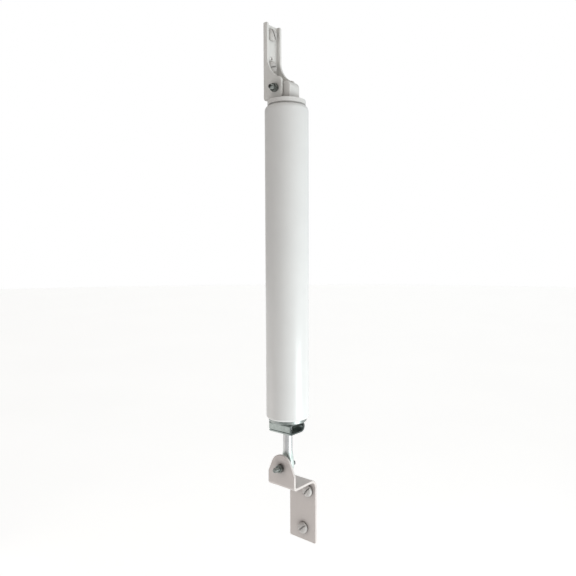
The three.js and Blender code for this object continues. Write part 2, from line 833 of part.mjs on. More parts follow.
add("door_bracket", doorBracket(), whitePaint());
for (const [name, z, turn] of [
  ["door_screw_upper", DOOR_SCREW_Z, 0.5],
  ["door_screw_lower", -DOOR_SCREW_Z, 1.9],
]) {
  const screw = panHeadScrew(4.2, 2.6, 2.1, SHEET);
  screw.rotateZ(turn);
  add(name, screw, whitePaint(), [SHEET + GAP, 0, z], [0, rightAngle, 0]);
}
add("door_pin", doorPin(), darkZinc(), atDoorPin);
add("door_pin_nut", doorPinNut(), darkZinc(), atDoorPin);

add("tube", tube(), whitePaint(), onAxis);
add("rear_cap", rearCap(), whiteCasting(), onAxis);
add("rear_cap_seal", rearCapSeal(), blackRubber(), onAxis);
add("speed_screw", speedScrew(), brass(), [AXIS_X, SPEED_SCREW_Y, 0]);
add("bumper", bumper(), blackRubber(), onAxis);
add("front_cap", frontCap(), darkZinc(), onAxis);
add("rod_wiper", rodWiper(), greyFelt(), onAxis);
add("spring_seat", springSeat(), zincPlate(), onAxis);
add("return_spring", returnSpring(), springSteel(), onAxis);

add("piston", piston(), nylon(), onAxis);
add("piston_cup", pistonCup(), blackRubber(), onAxis);
add("piston_washer", pistonWasher(), zincPlate(), onAxis);
add("piston_nut", pistonNut(), zincPlate(), onAxis);
add("piston_rod", pistonRod(), brightSteel(), onAxis);
add("hold_open_washer", holdOpenWasher(), zincPlate(), onAxis);

add("jamb_bracket", jambBracket(), whitePaint(), onAxis);
add("jamb_pin", jambPin(), darkZinc(), atJambPin);
add("jamb_pin_nut", jambPinNut(), darkZinc(), atJambPin);
add("jamb_spacer", jambSpacer(), nylon(), atJambPin);
for (const [name, turn] of [
  ["upper", 0.9],
  ["lower", 0.75],
]) {
  const { x, z } = JAMB_SCREWS[name];
  const screw = panHeadScrew(4.4, 2.8, 2.1, SHEET);
  screw.rotateZ(turn);
  const place = [AXIS_X + x, PLATE_Y - SHEET - GAP, z];
  add(`jamb_screw_${name}`, screw, whitePaint(), place, [rightAngle, 0, 0]);
}

export default closer;
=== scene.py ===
"""Looks of a pneumatic door closer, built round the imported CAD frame.

Shapes are worked out in millimetres in the row frame (X away from the door, Y along the pins,
Z up) and turned into metres when a piece is added.
"""

import json
import math

import bmesh
import bpy
import numpy as np
from mathutils import Matrix, Vector
from mathutils.geometry import delaunay_2d_cdt

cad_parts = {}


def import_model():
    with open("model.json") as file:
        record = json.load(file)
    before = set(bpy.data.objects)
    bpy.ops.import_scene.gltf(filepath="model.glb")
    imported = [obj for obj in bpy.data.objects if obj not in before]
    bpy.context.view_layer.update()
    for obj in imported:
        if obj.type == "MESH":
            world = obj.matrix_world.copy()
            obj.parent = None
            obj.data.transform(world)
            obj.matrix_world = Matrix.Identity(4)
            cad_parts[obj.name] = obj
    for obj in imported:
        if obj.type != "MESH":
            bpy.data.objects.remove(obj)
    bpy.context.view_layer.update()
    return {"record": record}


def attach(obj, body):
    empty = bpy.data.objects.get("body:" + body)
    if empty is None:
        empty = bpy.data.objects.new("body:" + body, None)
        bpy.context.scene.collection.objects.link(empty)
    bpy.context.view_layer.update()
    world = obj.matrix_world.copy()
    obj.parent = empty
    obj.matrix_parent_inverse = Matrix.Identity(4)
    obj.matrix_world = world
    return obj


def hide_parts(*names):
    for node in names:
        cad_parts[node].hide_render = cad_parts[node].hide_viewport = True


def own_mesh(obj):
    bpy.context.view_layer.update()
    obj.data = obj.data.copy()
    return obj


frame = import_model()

RECORD = frame["record"]
BODY_OF = {n: body for body, nodes in RECORD["behaviour"]["bodies"].items() for n in nodes}
MM = 0.001

# Sizes in millimetres, the same as in the CAD
SHEET = 2.0
AXIS_X = 16.5
DOOR_TOP_Z = 18.6
DOOR_WIDTH = 16.0
EAR_FRONT = 18.3
DOOR_PIN = (13.0, -30.4)  # X and Z
DOOR_SCREW_Z = 11.6
PILOT_HOLE_Z = -5.1
SCREW_HOLE_RADIUS = 2.6
SCREW_SHANK_RADIUS = 2.1
JAMB_PIN_Z = -308.6
EAR_Y = -8.0
PLATE_Y = 19.5
SHELF_TOP_Z = -321.8
PLATE_BOTTOM_Z = -372.8
STRIP_HALF_WIDTH = 12.7
JAMB_SCREWS = {"upper": (5.5, -332.6), "lower": (0.9, -362.9)}  # X from the axis, and Z
CAP_FACE_Z = -39.0
CAP_LIP_RADIUS = 14.0
CAP_NECK_RADIUS = 13.1
TUBE_RADIUS = 16.0
BORE_RADIUS = 14.8
PIN_RADIUS = 1.8
PIN_HOLE_RADIUS = 2.1
NUT_ACROSS_FLATS = 5.5
NUT_HEIGHT = 3.0
GAP = 0.3
BOTTOM_ROLL_Z = -269.7
FRONT_CAP_BOTTOM_Z = -274.2
CLIP_TOP_Z = -274.7
SPRING_ENDS_Z = (-260.9, -79.1)
SPRING_TURNS = 18
ROD_RADIUS = 3.5
STUD_RADIUS = 2.5
EYE_RADIUS = 4.8
EYE_HALF_THICKNESS = 2.3
SLIVER_AREA = 1e-5  # a triangle smaller than this is three points in line

# ---------------------------------------------------------------- outlines


def arc(centre, radius, start, stop, steps=10):
    """Points on an arc, angles in degrees."""
    angles = [math.radians(start + (stop - start) * i / steps) for i in range(steps + 1)]
    return [(centre[0] + radius * math.cos(a), centre[1] + radius * math.sin(a)) for a in angles]


def bezier(p0, p1, p2, p3, steps=24):
    points = []
    for i in range(steps + 1):
        t = i / steps
        weights = ((1 - t) ** 3, 3 * t * (1 - t) ** 2, 3 * t * t * (1 - t), t**3)
        points.append(tuple(sum(w * p[k] for w, p in zip(weights, (p0, p1, p2, p3))) for k in (0, 1)))
    return points


def without_repeats(points):
    kept = [points[0]]
    for p in points[1:]:
        if math.dist(p, kept[-1]) > 1e-4:
            kept.append(p)
    if math.dist(kept[0], kept[-1]) < 1e-4:
        kept.pop()
    return kept


def fillet(points, radius, closed=False, steps=4):
    """The polyline with each corner rounded, as far as its neighbours leave room."""
    points = without_repeats(points) if closed else points
    count = len(points)
    rounded = []
    for i, p in enumerate(points):
        if not closed and i in (0, count - 1):
            rounded.append(tuple(p))
            continue
        here = Vector(p)
        before = Vector(points[i - 1]) - here
        after = Vector(points[(i + 1) % count]) - here
        turn = before.angle(after)
        if turn > math.radians(172):
            rounded.append(tuple(p))
            continue
        reach = min(radius / math.tan(turn / 2), 0.45 * before.length, 0.45 * after.length)
        start = here + before.normalized() * reach
        stop = here + after.normalized() * reach
        for k in range(steps + 1):
            t = k / steps
            rounded.append(tuple(start * (1 - t) ** 2 + here * (2 * t * (1 - t)) + stop * t * t))
    return rounded


def subdivided(points, step):
    """The closed loop with no side longer than step."""
    loop = without_repeats(points)
    fine = []
    for p, q in zip(loop, loop[1:] + loop[:1]):
        pieces = max(1, math.ceil(math.dist(p, q) / step))
        way = ((q[0] - p[0]) / pieces, (q[1] - p[1]) / pieces)
        fine += [(p[0] + way[0] * k, p[1] + way[1] * k) for k in range(pieces)]
    return fine


def signed_area(loop):
    return sum(p[0] * q[1] - q[0] * p[1] for p, q in zip(loop, loop[1:] + loop[:1])) / 2


def moved_inward(loop, distance):
    """Each point moved to the left of the way round."""
    result = []
    for i, p in enumerate(loop):
        way = Vector(loop[(i + 1) % len(loop)]) - Vector(loop[i - 1])
        way.normalize()
        result.append((p[0] - way.y * distance, p[1] + way.x * distance))
    return result


def circle(centre, radius, steps=48):
    return arc(centre, radius, 0, 360, steps)[:-1]


# ---------------------------------------------------------------- solids


def bridge(bm, low, high):
    """Faces between two rings. Either may be a single point."""
    count = max(len(low), len(high))
    for i in range(count):
        j = (i + 1) % count
        corners = [low[i % len(low)], low[j % len(low)], high[j % len(high)], high[i % len(high)]]
        corners = [c for k, c in enumerate(corners) if c not in corners[:k]]
        if len(corners) > 2:
            bm.faces.new(corners)


def lathe(profile, closed=False, sides=96):
    """A [radius, height] profile turned about Z. Closed profiles make rings."""
    bm = bmesh.new()
    rings = []
    for radius, height in profile:
        if radius < 1e-6:
            rings.append([bm.verts.new((0, 0, height))])
        else:
            rings.append([bm.verts.new((*p, height)) for p in circle((0, 0), radius, sides)])
    for low, high in zip(rings, rings[1:] + (rings[:1] if closed else [])):
        bridge(bm, low, high)
    return bm


def loft(sections):
    """A closed solid through rings of points, each ring a list of (x, y, z)."""
    bm = bmesh.new()
    rings = [[bm.verts.new(p) for p in ring] for ring in sections]
    for low, high in zip(rings, rings[1:]):
        bridge(bm, low, high)
    for ring in (rings[0], rings[-1]):
        if len(ring) > 2:
            bm.faces.new(ring)
    return bm


def inside(points, loops):
    """Which points lie in the outline and outside its holes."""
    x, y = np.array(points, float).T
    odd = np.zeros(len(x), bool)
    for loop in loops:
        for (ax, ay), (bx, by) in zip(loop, loop[1:] + loop[:1]):
            if ay == by:
                continue
            crosses = (ay > y) != (by > y)
            odd ^= crosses & (x < ax + (y - ay) * (bx - ax) / (by - ay))
    return odd


def far_from(points, loops, distance):
    rim = np.array([p for loop in loops for p in loop], float)
    points = np.array(points, float)
    keep = []
    for start in range(0, len(points), 500):
        gaps = points[start : start + 500, None, :] - rim[None, :, :]
        keep.append((gaps**2).sum(2).min(1) > distance**2)
    return np.concatenate(keep)


def plate(outline, holes=(), thickness=SHEET, edge=0.25, fine_u=(), fine_v=(), coarse=1.2, rim_step=0.4):
    """A flat blank drawn in (u, v), from w = 0 to its thickness, with rounded rims.

    fine_u and fine_v are ranges that need close lines of points, because they are bent later.
    """
    loops = [subdivided(loop, rim_step) for loop in (outline, *holes)]
    loops = [loop if (signed_area(loop) > 0) == (i == 0) else loop[::-1] for i, loop in enumerate(loops)]
    turns = [math.radians(a) for a in (0, 30, 60, 90)]
    rim = [(edge * (1 - math.sin(a)), edge * (1 - math.cos(a))) for a in turns]
    rim += [(inset, thickness - w) for inset, w in reversed(rim)]
    bm = bmesh.new()
    faces_low, faces_high = [], []
    for loop in loops:
        rings = []
        for inset, w in rim:
            rings.append([bm.verts.new((*p, w)) for p in moved_inward(loop, inset)])
        for low, high in zip(rings, rings[1:]):
            bridge(bm, low, high)
        faces_low.append(rings[0])
        faces_high.append(rings[-1])
    flat_loops = [[(v.co.x, v.co.y) for v in ring] for ring in faces_low]
    extra = grid_points(flat_loops, fine_u, fine_v, coarse)
    for rings, w in ((faces_low, 0.0), (faces_high, thickness)):
        fill(bm, rings, flat_loops, extra, w)
    return bm


def grid_lines(low, high, fine_ranges, coarse):
    lines = list(np.arange(low + coarse / 2, high, coarse))
    for start, stop in fine_ranges:
        lines = [x for x in lines if not start <= x <= stop]
        lines += list(np.arange(start, stop + 1e-6, 0.28))
    return sorted(lines)


def grid_points(loops, fine_u, fine_v, coarse):
    rim = np.array(loops[0])
    (u0, v0), (u1, v1) = rim.min(0), rim.max(0)
    points = [
        (u, v)
        for u in grid_lines(u0, u1, fine_u, coarse)
        for v in grid_lines(v0, v1, fine_v, coarse)
    ]
    keep = inside(points, loops) & far_from(points, loops, 0.25)
    return [p for p, kept in zip(points, keep) if kept]


def fill(bm, rings, loops, extra, w):
    """Triangles over the flat face between the rings, through the extra points."""
    flat = [p for loop in loops for p in loop]
    verts = [v for ring in rings for v in ring] + [bm.verts.new((*p, w)) for p in extra]
    sides, start = [], 0
    for loop in loops:
        sides += [(start + i, start + (i + 1) % len(loop)) for i in range(len(loop))]
        start += len(loop)
    points = [Vector(p) for p in flat + extra]
    found = delaunay_2d_cdt(points, sides, [], 0, 1e-7)
    origin = found[3]
    faces = [f for f in found[2] if all(origin[i] for i in f)]
    faces = [f for f in faces if abs(signed_area([found[0][i] for i in f])) > SLIVER_AREA]
    centres = [sum((found[0][i] for i in f), Vector((0, 0))) / len(f) for f in faces]
    for face, kept in zip(faces, inside(centres, loops)):
        corners = [verts[origin[i][0]] for i in face]
        if kept and len(set(corners)) == len(corners):
            bm.faces.new(corners)


def path_frame(segments, start, heading):
    """A function of (s, offset) to a point beside the path, for bending a flat blank.

    Each segment is (length, turn in degrees). offset is measured to the left of the path.
    """
    legs = []
    point, angle, s = Vector(start), math.radians(heading), 0.0
    for length, turn in segments:
        legs.append((s, length, math.radians(turn), point.copy(), angle))
        s += length
        if turn:
            radius = length / math.radians(turn)
            centre = point + Vector((-math.sin(angle), math.cos(angle))) * radius
            angle += math.radians(turn)
            point = centre - Vector((-math.sin(angle), math.cos(angle))) * radius
        else:
            point = point + Vector((math.cos(angle), math.sin(angle))) * length

    def place(s, offset):
        leg = next((l for l in reversed(legs) if s >= l[0]), legs[0])
        begin, length, turn, origin, angle = leg
        along = s - begin
        if not turn:
            ahead = Vector((math.cos(angle), math.sin(angle)))
            left = Vector((-ahead.y, ahead.x))
            return origin + ahead * along + left * offset
        radius = length / turn
        centre = origin + Vector((-math.sin(angle), math.cos(angle))) * radius
        now = angle + turn * along / length
        return centre - Vector((-math.sin(now), math.cos(now))) * (radius - offset)

    return place


def reshaped(bm, place):
    """Every vertex moved by a function of its coordinates."""
    for v in bm.verts:
        v.co = place(*v.co)
    return bm


def shifted(bm, x=0.0, y=0.0, z=0.0):
    bmesh.ops.translate(bm, verts=bm.verts, vec=(x, y, z))
    return bm


def turned_to_y(bm):
    """What stood along Z lies along Y."""
    return reshaped(bm, lambda x, y, z: (x, z, -y))


def turned_to_x(bm):
    """What stood along Z lies along X."""
    return reshaped(bm, lambda x, y, z: (z, y, -x))


def box(x, y, z):
    bm = bmesh.new()
    bmesh.ops.create_cube(bm, size=1.0)
    size = (x[1] - x[0], y[1] - y[0], z[1] - z[0])
    bmesh.ops.scale(bm, verts=bm.verts, vec=size)
    return shifted(bm, *[(low + high) / 2 for low, high in (x, y, z)])


def mesh_object(bm, name="work"):
    bmesh.ops.recalc_face_normals(bm, faces=bm.faces)
    mesh = bpy.data.meshes.new(name)
    bm.to_mesh(mesh)
    bm.free()
    obj = bpy.data.objects.new(name, mesh)
    bpy.context.scene.collection.objects.link(obj)
    return obj


def applied(obj):
    """The mesh with its modifiers applied, as a new bmesh. The object goes."""
    bpy.context.view_layer.update()
    graph = bpy.context.evaluated_depsgraph_get()
    bm = bmesh.new()
    bm.from_mesh(obj.evaluated_get(graph).to_mesh())
    mesh = obj.data
    bpy.data.objects.remove(obj)
    bpy.data.meshes.remove(mesh)
    return bm


def combined(bm, tool, operation):
    """Boolean of two closed solids."""
    body, other = mesh_object(bm), mesh_object(tool, "tool")
    modifier = body.modifiers.new("cut", "BOOLEAN")
    modifier.operation = operation
    modifier.solver = "MANIFOLD"
    modifier.object = other
    result = applied(body)
    bpy.data.objects.remove(other)
    return result


def eased(bm, width, angle=32.0, segments=2):
    """The solid with its sharp edges rounded."""
    obj = mesh_object(bm)
    modifier = obj.modifiers.new("ease", "BEVEL")
    modifier.width = width
    modifier.segments = segments
    modifier.limit_method = "ANGLE"
    modifier.angle_limit = math.radians(angle)
    modifier.harden_normals = False
    return applied(obj)


def add_piece(node, bm, finish, sharp=38.0):
    """A finished piece in metres, which stands for a CAD node and rides on its body."""
    bmesh.ops.remove_doubles(bm, verts=bm.verts, dist=1e-5)
    bmesh.ops.scale(bm, verts=bm.verts, vec=(MM, MM, MM))
    obj = mesh_object(bm, f"{node}_fine")
    for polygon in obj.data.polygons:
        polygon.use_smooth = True
    obj.data.set_sharp_from_angle(angle=math.radians(sharp))
    normals = obj.modifiers.new("normals", "WEIGHTED_NORMAL")
    normals.keep_sharp = True
    normals.weight = 80
    obj.data.materials.append(finish)
    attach(obj, BODY_OF[node])
    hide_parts(node)
    return obj


# ---------------------------------------------------------------- materials


class Finish:
    """A node material under construction."""

    def __init__(self, name, **inputs):
        self.material = bpy.data.materials.new(name)
        self.material.use_nodes = True
        self.tree = self.material.node_tree
        self.shader = self.tree.nodes["Principled BSDF"]
        for key, value in inputs.items():
            self.shader.inputs[key.replace("_", " ")].default_value = value
        self.place = self.node("ShaderNodeTexCoord").outputs["Object"]

    def node(self, kind, **settings):
        made = self.tree.nodes.new(kind)
        for key, value in settings.items():
            setattr(made, key, value)
        return made

    def link(self, source, target):
        self.tree.links.new(source, target)

    def stretched(self, scale):
        """Object coordinates scaled differently along each axis."""
        mapping = self.node("ShaderNodeMapping")
        mapping.inputs["Scale"].default_value = scale
        self.link(self.place, mapping.inputs["Vector"])
        return mapping.outputs["Vector"]

    def noise(self, scale, detail=3.0, roughness=0.55, place=None):
        made = self.node("ShaderNodeTexNoise")
        made.inputs["Scale"].default_value = scale
        made.inputs["Detail"].default_value = detail
        made.inputs["Roughness"].default_value = roughness
        self.link(place or self.place, made.inputs["Vector"])
        return made.outputs["Fac"]

    def cells(self, scale, feature="F1", place=None):
        made = self.node("ShaderNodeTexVoronoi", feature=feature)
        made.inputs["Scale"].default_value = scale
        self.link(place or self.place, made.inputs["Vector"])
        return made

    def ranged(self, value, low, high, to_low=0.0, to_high=1.0):
        """A value mapped from one range to another, and clamped."""
        made = self.node("ShaderNodeMapRange")
        for key, number in (("From Min", low), ("From Max", high), ("To Min", to_low), ("To Max", to_high)):
            made.inputs[key].default_value = number
        self.link(value, made.inputs["Value"])
        return made.outputs["Result"]

    def maths(self, operation, a, b=None):
        made = self.node("ShaderNodeMath", operation=operation)
        for socket, value in zip(made.inputs, (a, b)):
            if isinstance(value, (int, float)):
                socket.default_value = value
            elif value is not None:
                self.link(value, socket)
        return made.outputs[0]

    def mixed(self, factor, a, b):
        """Colour a where the factor is 0 and b where it is 1. Each is a colour or a socket."""
        made = self.node("ShaderNodeMix", data_type="RGBA")
        self.link(factor, made.inputs["Factor"])
        for socket, value in ((made.inputs[6], a), (made.inputs[7], b)):
            if isinstance(value, tuple):
                socket.default_value = (*value, 1.0)
            else:
                self.link(value, socket)
        return made.outputs[2]

    def colour(self, socket):
        self.link(socket, self.shader.inputs["Base Color"])

    def roughness(self, socket):
        self.link(socket, self.shader.inputs["Roughness"])

    def bump(self, *layers):
        """Layers of (height socket, depth in metres, strength), one over the other."""
        normal = None
        for height, distance, strength in layers:
            made = self.node("ShaderNodeBump")
            made.inputs["Distance"].default_value = distance
            made.inputs["Strength"].default_value = strength
            self.link(height, made.inputs["Height"])
            if normal is not None:
                self.link(normal, made.inputs["Normal"])
            normal = made.outputs["Normal"]
        self.link(normal, self.shader.inputs["Normal"])

    def edges(self, radius, spread=0.12):
        """1 along outer and inner edges, 0 on flat ground."""
        soft = self.node("ShaderNodeBevel", samples=6)
        soft.inputs["Radius"].default_value = radius
        hard = self.node("ShaderNodeNewGeometry")
        product = self.node("ShaderNodeVectorMath", operation="DOT_PRODUCT")
        self.link(soft.outputs["Normal"], product.inputs[0])
        self.link(hard.outputs["Normal"], product.inputs[1])
        return self.ranged(product.outputs["Value"], 1.0 - spread, 0.998, 1.0, 0.0)

    def hollows(self, reach, low=0.45, high=0.98):
        """1 deep in corners and 0 on open ground."""
        made = self.node("ShaderNodeAmbientOcclusion", samples=8)
        made.inputs["Distance"].default_value = reach
        return self.ranged(made.outputs["AO"], low, high, 1.0, 0.0)

    def facing_up(self):
        """1 on level ground and 0 on upright faces and undersides."""
        split = self.node("ShaderNodeSeparateXYZ")
        self.link(self.node("ShaderNodeNewGeometry").outputs["Normal"], split.inputs[0])
        return self.ranged(split.outputs["Z"], 0.2, 0.8)

    def height(self, low, high):
        """0 below one height of the row frame and 1 above another, in millimetres."""
        split = self.node("ShaderNodeSeparateXYZ")
        self.link(self.place, split.inputs[0])
        return self.ranged(split.outputs["Z"], low * MM, high * MM)


def painted(name, tint, worn, peel, wear, reach=0.005, grime_and_shade=0.3):
    """Baked paint: orange peel, faint mottling, dust specks and thin edges, with painted shade that darkens
    the corners, more on upright faces and undersides than on level ground.
    """
    f = Finish(name, IOR=1.5, Coat_Weight=0.25, Coat_Roughness=0.12)
    shade = tuple(c * 0.955 for c in tint)
    patches = f.ranged(f.noise(28, 4.0), 0.3, 0.7)
    base = f.mixed(patches, shade, tint)
    specks = f.ranged(f.noise(2600, 1.0), 0.74, 0.8)
    rare = f.ranged(f.noise(70, 2.0), 0.52, 0.62)
    base = f.mixed(f.maths("MULTIPLY", specks, rare), base, tuple(c * 0.84 for c in tint))
    chips = f.ranged(f.noise(520, 5.0, 0.7), 0.53, 0.6)
    rubbed = f.maths("MULTIPLY", f.edges(0.0004), chips)
    rubbed = f.maths("MULTIPLY", rubbed, wear)
    # painted shade: corners and faces under overhangs darken towards a third of the tint, least on level
    # ground
    under = f.ranged(f.facing_up(), 0, 1, grime_and_shade, 0.15 * grime_and_shade)
    painted_corner_shade = f.maths("MULTIPLY", f.hollows(reach), under)
    base = f.mixed(painted_corner_shade, base, tuple(c * 0.3 for c in tint))
    f.colour(f.mixed(rubbed, base, worn))
    gloss = f.ranged(f.noise(45, 3.0), 0.3, 0.7, 0.3, 0.42)
    f.roughness(f.maths("ADD", gloss, f.maths("MULTIPLY", rubbed, 0.25)))
    f.bump((f.noise(peel, 2.0), 0.00008, 0.35), (f.noise(peel * 5, 2.0), 0.00002, 0.25))
    return f.material


def cast_paint():
    """Paint over a die casting, a little rougher than on sheet."""
    tint = (0.76, 0.75, 0.73)
    f = Finish("paint_on_casting", IOR=1.5, Coat_Weight=0.15, Coat_Roughness=0.2)
    base = f.mixed(f.ranged(f.noise(60, 4.0), 0.3, 0.7), tuple(c * 0.93 for c in tint), tint)
    # patchy dirt along the edges, which in the creases also paints shade
    grime_and_shade = f.maths("MULTIPLY", f.edges(0.0007, 0.3), f.ranged(f.noise(240, 4.0), 0.4, 0.65, 0.0, 0.35))
    # painted shade: the casting's hollows are darkened towards a near-black grey
    base = f.mixed(f.maths("MULTIPLY", f.hollows(0.005), 0.6), base, (0.26, 0.25, 0.235))
    f.colour(f.mixed(grime_and_shade, base, (0.36, 0.345, 0.32)))
    f.roughness(f.ranged(f.noise(160, 3.0), 0.3, 0.7, 0.34, 0.5))
    f.bump((f.noise(900, 3.0), 0.0001, 0.4), (f.cells(1500).outputs["Distance"], 0.00004, 0.2))
    return f.material


def plated(name, bright, dull, rough, grain=(900, 900, 900), bite=0.4):
    """Zinc plate: cloudy patches, fine grain and brighter rubbed edges."""
    f = Finish(name, Metallic=1.0)
    clouds = f.ranged(f.noise(210, 5.0, 0.65), 0.3, 0.68)
    flakes = f.cells(1300)
    tone = f.mixed(clouds, dull, bright)
    tone = f.mixed(f.ranged(flakes.outputs["Distance"], 0.1, 0.75, 0.0, 0.35), tone, dull)
    glint = tuple(min(1.0, c * 1.35) for c in bright)
    f.colour(f.mixed(f.maths("MULTIPLY", f.edges(0.00025), 0.55), tone, glint))
    streaks = f.noise(1.0, 3.0, 0.6, f.stretched(grain))
    f.roughness(f.ranged(streaks, 0.25, 0.75, rough - 0.08, rough + 0.1))
    f.bump((streaks, 0.00003, bite), (f.noise(350, 3.0), 0.00006, 0.25))
    return f.material


def ground_steel():
    """The rod: bright along its length and dull where the eye was forged."""
    f = Finish("ground_steel", Metallic=1.0)
    forged = f.height(JAMB_PIN_Z + 9.1, JAMB_PIN_Z + 13.1)
    scale = f.mixed(f.ranged(f.noise(420, 5.0), 0.3, 0.7), (0.56, 0.62, 0.59), (0.72, 0.77, 0.75))
    shine = f.mixed(f.ranged(f.noise(60, 3.0), 0.3, 0.7), (0.47, 0.475, 0.48), (0.58, 0.585, 0.59))
    f.colour(f.mixed(forged, scale, shine))
    rings = f.noise(1.0, 2.0, 0.6, f.stretched((300, 300, 9000)))
    rougher = f.ranged(forged, 0, 1, 0.2, 0.0)
    f.roughness(f.maths("ADD", f.ranged(rings, 0.2, 0.8, 0.34, 0.46), rougher))
    f.bump((rings, 0.00001, 0.3))
    return f.material


def spring_wire():
    f = Finish("oiled_spring_wire", Metallic=1.0)
    tone = f.mixed(f.ranged(f.noise(300, 4.0), 0.3, 0.7), (0.1, 0.105, 0.11), (0.24, 0.24, 0.25))
    f.colour(f.mixed(f.ranged(f.noise(90, 3.0), 0.55, 0.7), tone, (0.2, 0.14, 0.09)))
    f.roughness(f.ranged(f.noise(700, 3.0), 0.3, 0.7, 0.25, 0.45))
    f.bump((f.noise(1800, 3.0), 0.00002, 0.3))
    return f.material


def moulded_rubber():
    f = Finish("moulded_rubber", IOR=1.5)
    dust = f.ranged(f.noise(150, 4.0), 0.5, 0.75)
    f.colour(f.mixed(dust, (0.012, 0.012, 0.013), (0.05, 0.048, 0.045)))
    f.roughness(f.ranged(f.noise(500, 3.0), 0.3, 0.7, 0.5, 0.75))
    f.bump((f.noise(1400, 4.0), 0.00005, 0.4))
    return f.material


def pressed_felt():
    f = Finish("pressed_felt", Sheen_Weight=0.4, Sheen_Roughness=0.6)
    fibres = f.noise(1.0, 5.0, 0.75, f.stretched((2600, 2600, 900)))
    f.colour(f.mixed(f.ranged(fibres, 0.3, 0.7), (0.05, 0.048, 0.045), (0.2, 0.19, 0.175)))
    f.roughness(f.ranged(fibres, 0.3, 0.7, 0.85, 1.0))
    f.bump((fibres, 0.0002, 0.8))
    return f.material


def natural_nylon():
    f = Finish("natural_nylon", IOR=1.53, Subsurface_Weight=0.12, Subsurface_Scale=0.001)
    f.colour(f.mixed(f.ranged(f.noise(120, 4.0), 0.3, 0.7), (0.62, 0.6, 0.53), (0.73, 0.71, 0.65)))
    f.roughness(f.ranged(f.noise(600, 3.0), 0.3, 0.7, 0.38, 0.55))
    f.bump((f.noise(1500, 3.0), 0.00003, 0.35))
    return f.material


def turned_brass():
    f = Finish("turned_brass", Metallic=1.0)
    tarnish = f.ranged(f.noise(380, 5.0), 0.42, 0.7)
    f.colour(f.mixed(tarnish, (0.66, 0.47, 0.19), (0.32, 0.22, 0.1)))
    rings = f.noise(1.0, 2.0, 0.6, f.stretched((500, 500, 14000)))
    f.roughness(f.ranged(rings, 0.2, 0.8, 0.2, 0.38))
    f.bump((rings, 0.00001, 0.35))
    return f.material


TUBE_PAINT = painted("gloss_paint_on_tube", (0.775, 0.775, 0.765), (0.5, 0.49, 0.47), 420, 0.35)
DOOR_PAINT = painted("paint_on_door_bracket", (0.8, 0.79, 0.765), (0.4, 0.39, 0.375), 700, 0.75, 0.004)
# painted shade: the jamb bracket's paint is a darker, warmer copy of the door bracket's white, standing for
# the shade on its side, and its corner shade reaches far under the shelf
JAMB_PAINT_SHADED = painted("paint_on_jamb_bracket_with_painted_shade", (0.705, 0.653, 0.627), (0.4, 0.38, 0.36), 700, 0.75, 0.018, 0.9)
CAST_PAINT = cast_paint()
ZINC = plated("zinc_plate", (0.48, 0.525, 0.51), (0.3, 0.34, 0.325), 0.33)
DARK_ZINC = plated("dull_dark_zinc", (0.42, 0.45, 0.43), (0.08, 0.09, 0.087), 0.3)
# painted shade: the washer's cut edges are bare sheared steel made near black, to stand for the shade at the
# washer's ends
SHEARED_EDGE_SHADED = plated(
    "sheared_edge_with_painted_shade", (0.17, 0.19, 0.185), (0.07, 0.08, 0.075), 0.5, (300, 3000, 3000), 0.8
)
# painted shade: a darker copy of the zinc plate, for the front cap's nose in shade under the tube
CAP_ZINC_SHADED = plated("front_cap_zinc_with_painted_shade", (0.44, 0.47, 0.46), (0.2, 0.225, 0.215), 0.36)
SCREW_PAINT = painted("paint_on_screws", (0.59, 0.57, 0.55), (0.3, 0.3, 0.29), 900, 0.9, 0.002, 0.42)
ROD_STEEL = ground_steel()
SPRING_WIRE = spring_wire()
RUBBER = moulded_rubber()
FELT = pressed_felt()
NYLON = natural_nylon()
BRASS = turned_brass()

# ---------------------------------------------------------------- fasteners


def shaft(profile, sides=48, thread=None):
    """A turned shaft along Z, its profile given from the low end up.

    thread is (from, to, pitch, depth) for a helical stretch.
    """
    levels = list(profile)
    if thread:
        start, stop, pitch, depth = thread
        count = int((stop - start) / pitch * 8)
        heights = [start + (stop - start) * k / count for k in range(count + 1)]
        levels = levels[:1]
        for (r0, h0), (r1, h1) in zip(profile, profile[1:]):
            levels += [(r0 + (r1 - r0) * (h - h0) / (h1 - h0), h) for h in heights if h0 < h < h1]
            levels.append((r1, h1))
    bm = bmesh.new()
    rings = []
    for radius_here, height in levels:
        if radius_here < 1e-6:
            rings.append([bm.verts.new((0, 0, height))])
            continue
        ring = []
        for i in range(sides):
            angle = 2 * math.pi * i / sides
            cut = 0.0
            if thread and start <= height <= stop:
                phase = ((height - start) / pitch - i / sides) % 1.0
                fade = min(1.0, (height - start) / pitch, (stop - height) / pitch)
                cut = depth * fade * abs(2 * phase - 1)
            radius = radius_here - cut
            ring.append(bm.verts.new((radius * math.cos(angle), radius * math.sin(angle), height)))
        rings.append(ring)
    for low, high in zip(rings, rings[1:]):
        bridge(bm, low, high)
    return bm


def hexagon(across_flats, low, high):
    corner = across_flats / math.sqrt(3)
    ring = circle((0, 0), corner, 6)
    return loft([[(*p, low) for p in ring], [(*p, high) for p in ring]])


def nut(across_flats, hole, low, high):
    """A chamfered hexagon nut along Z."""
    corner = across_flats / math.sqrt(3)
    rise = (high - low) * 0.2
    blank = lathe(
        [(0, low), (corner * 0.87, low), (corner * 1.03, low + rise)]
        + [(corner * 1.03, high - rise), (corner * 0.87, high), (0, high)]
    )
    body = combined(hexagon(across_flats, low, high), blank, "INTERSECT")
    bore = lathe(
        [(0, low - 1), (hole + 1.3, low - 1), (hole, low + 0.3), (hole, high - 0.3)]
        + [(hole + 1.3, high + 1), (0, high + 1)],
        sides=48,
    )
    return eased(combined(body, bore, "DIFFERENCE"), 0.12, 28)


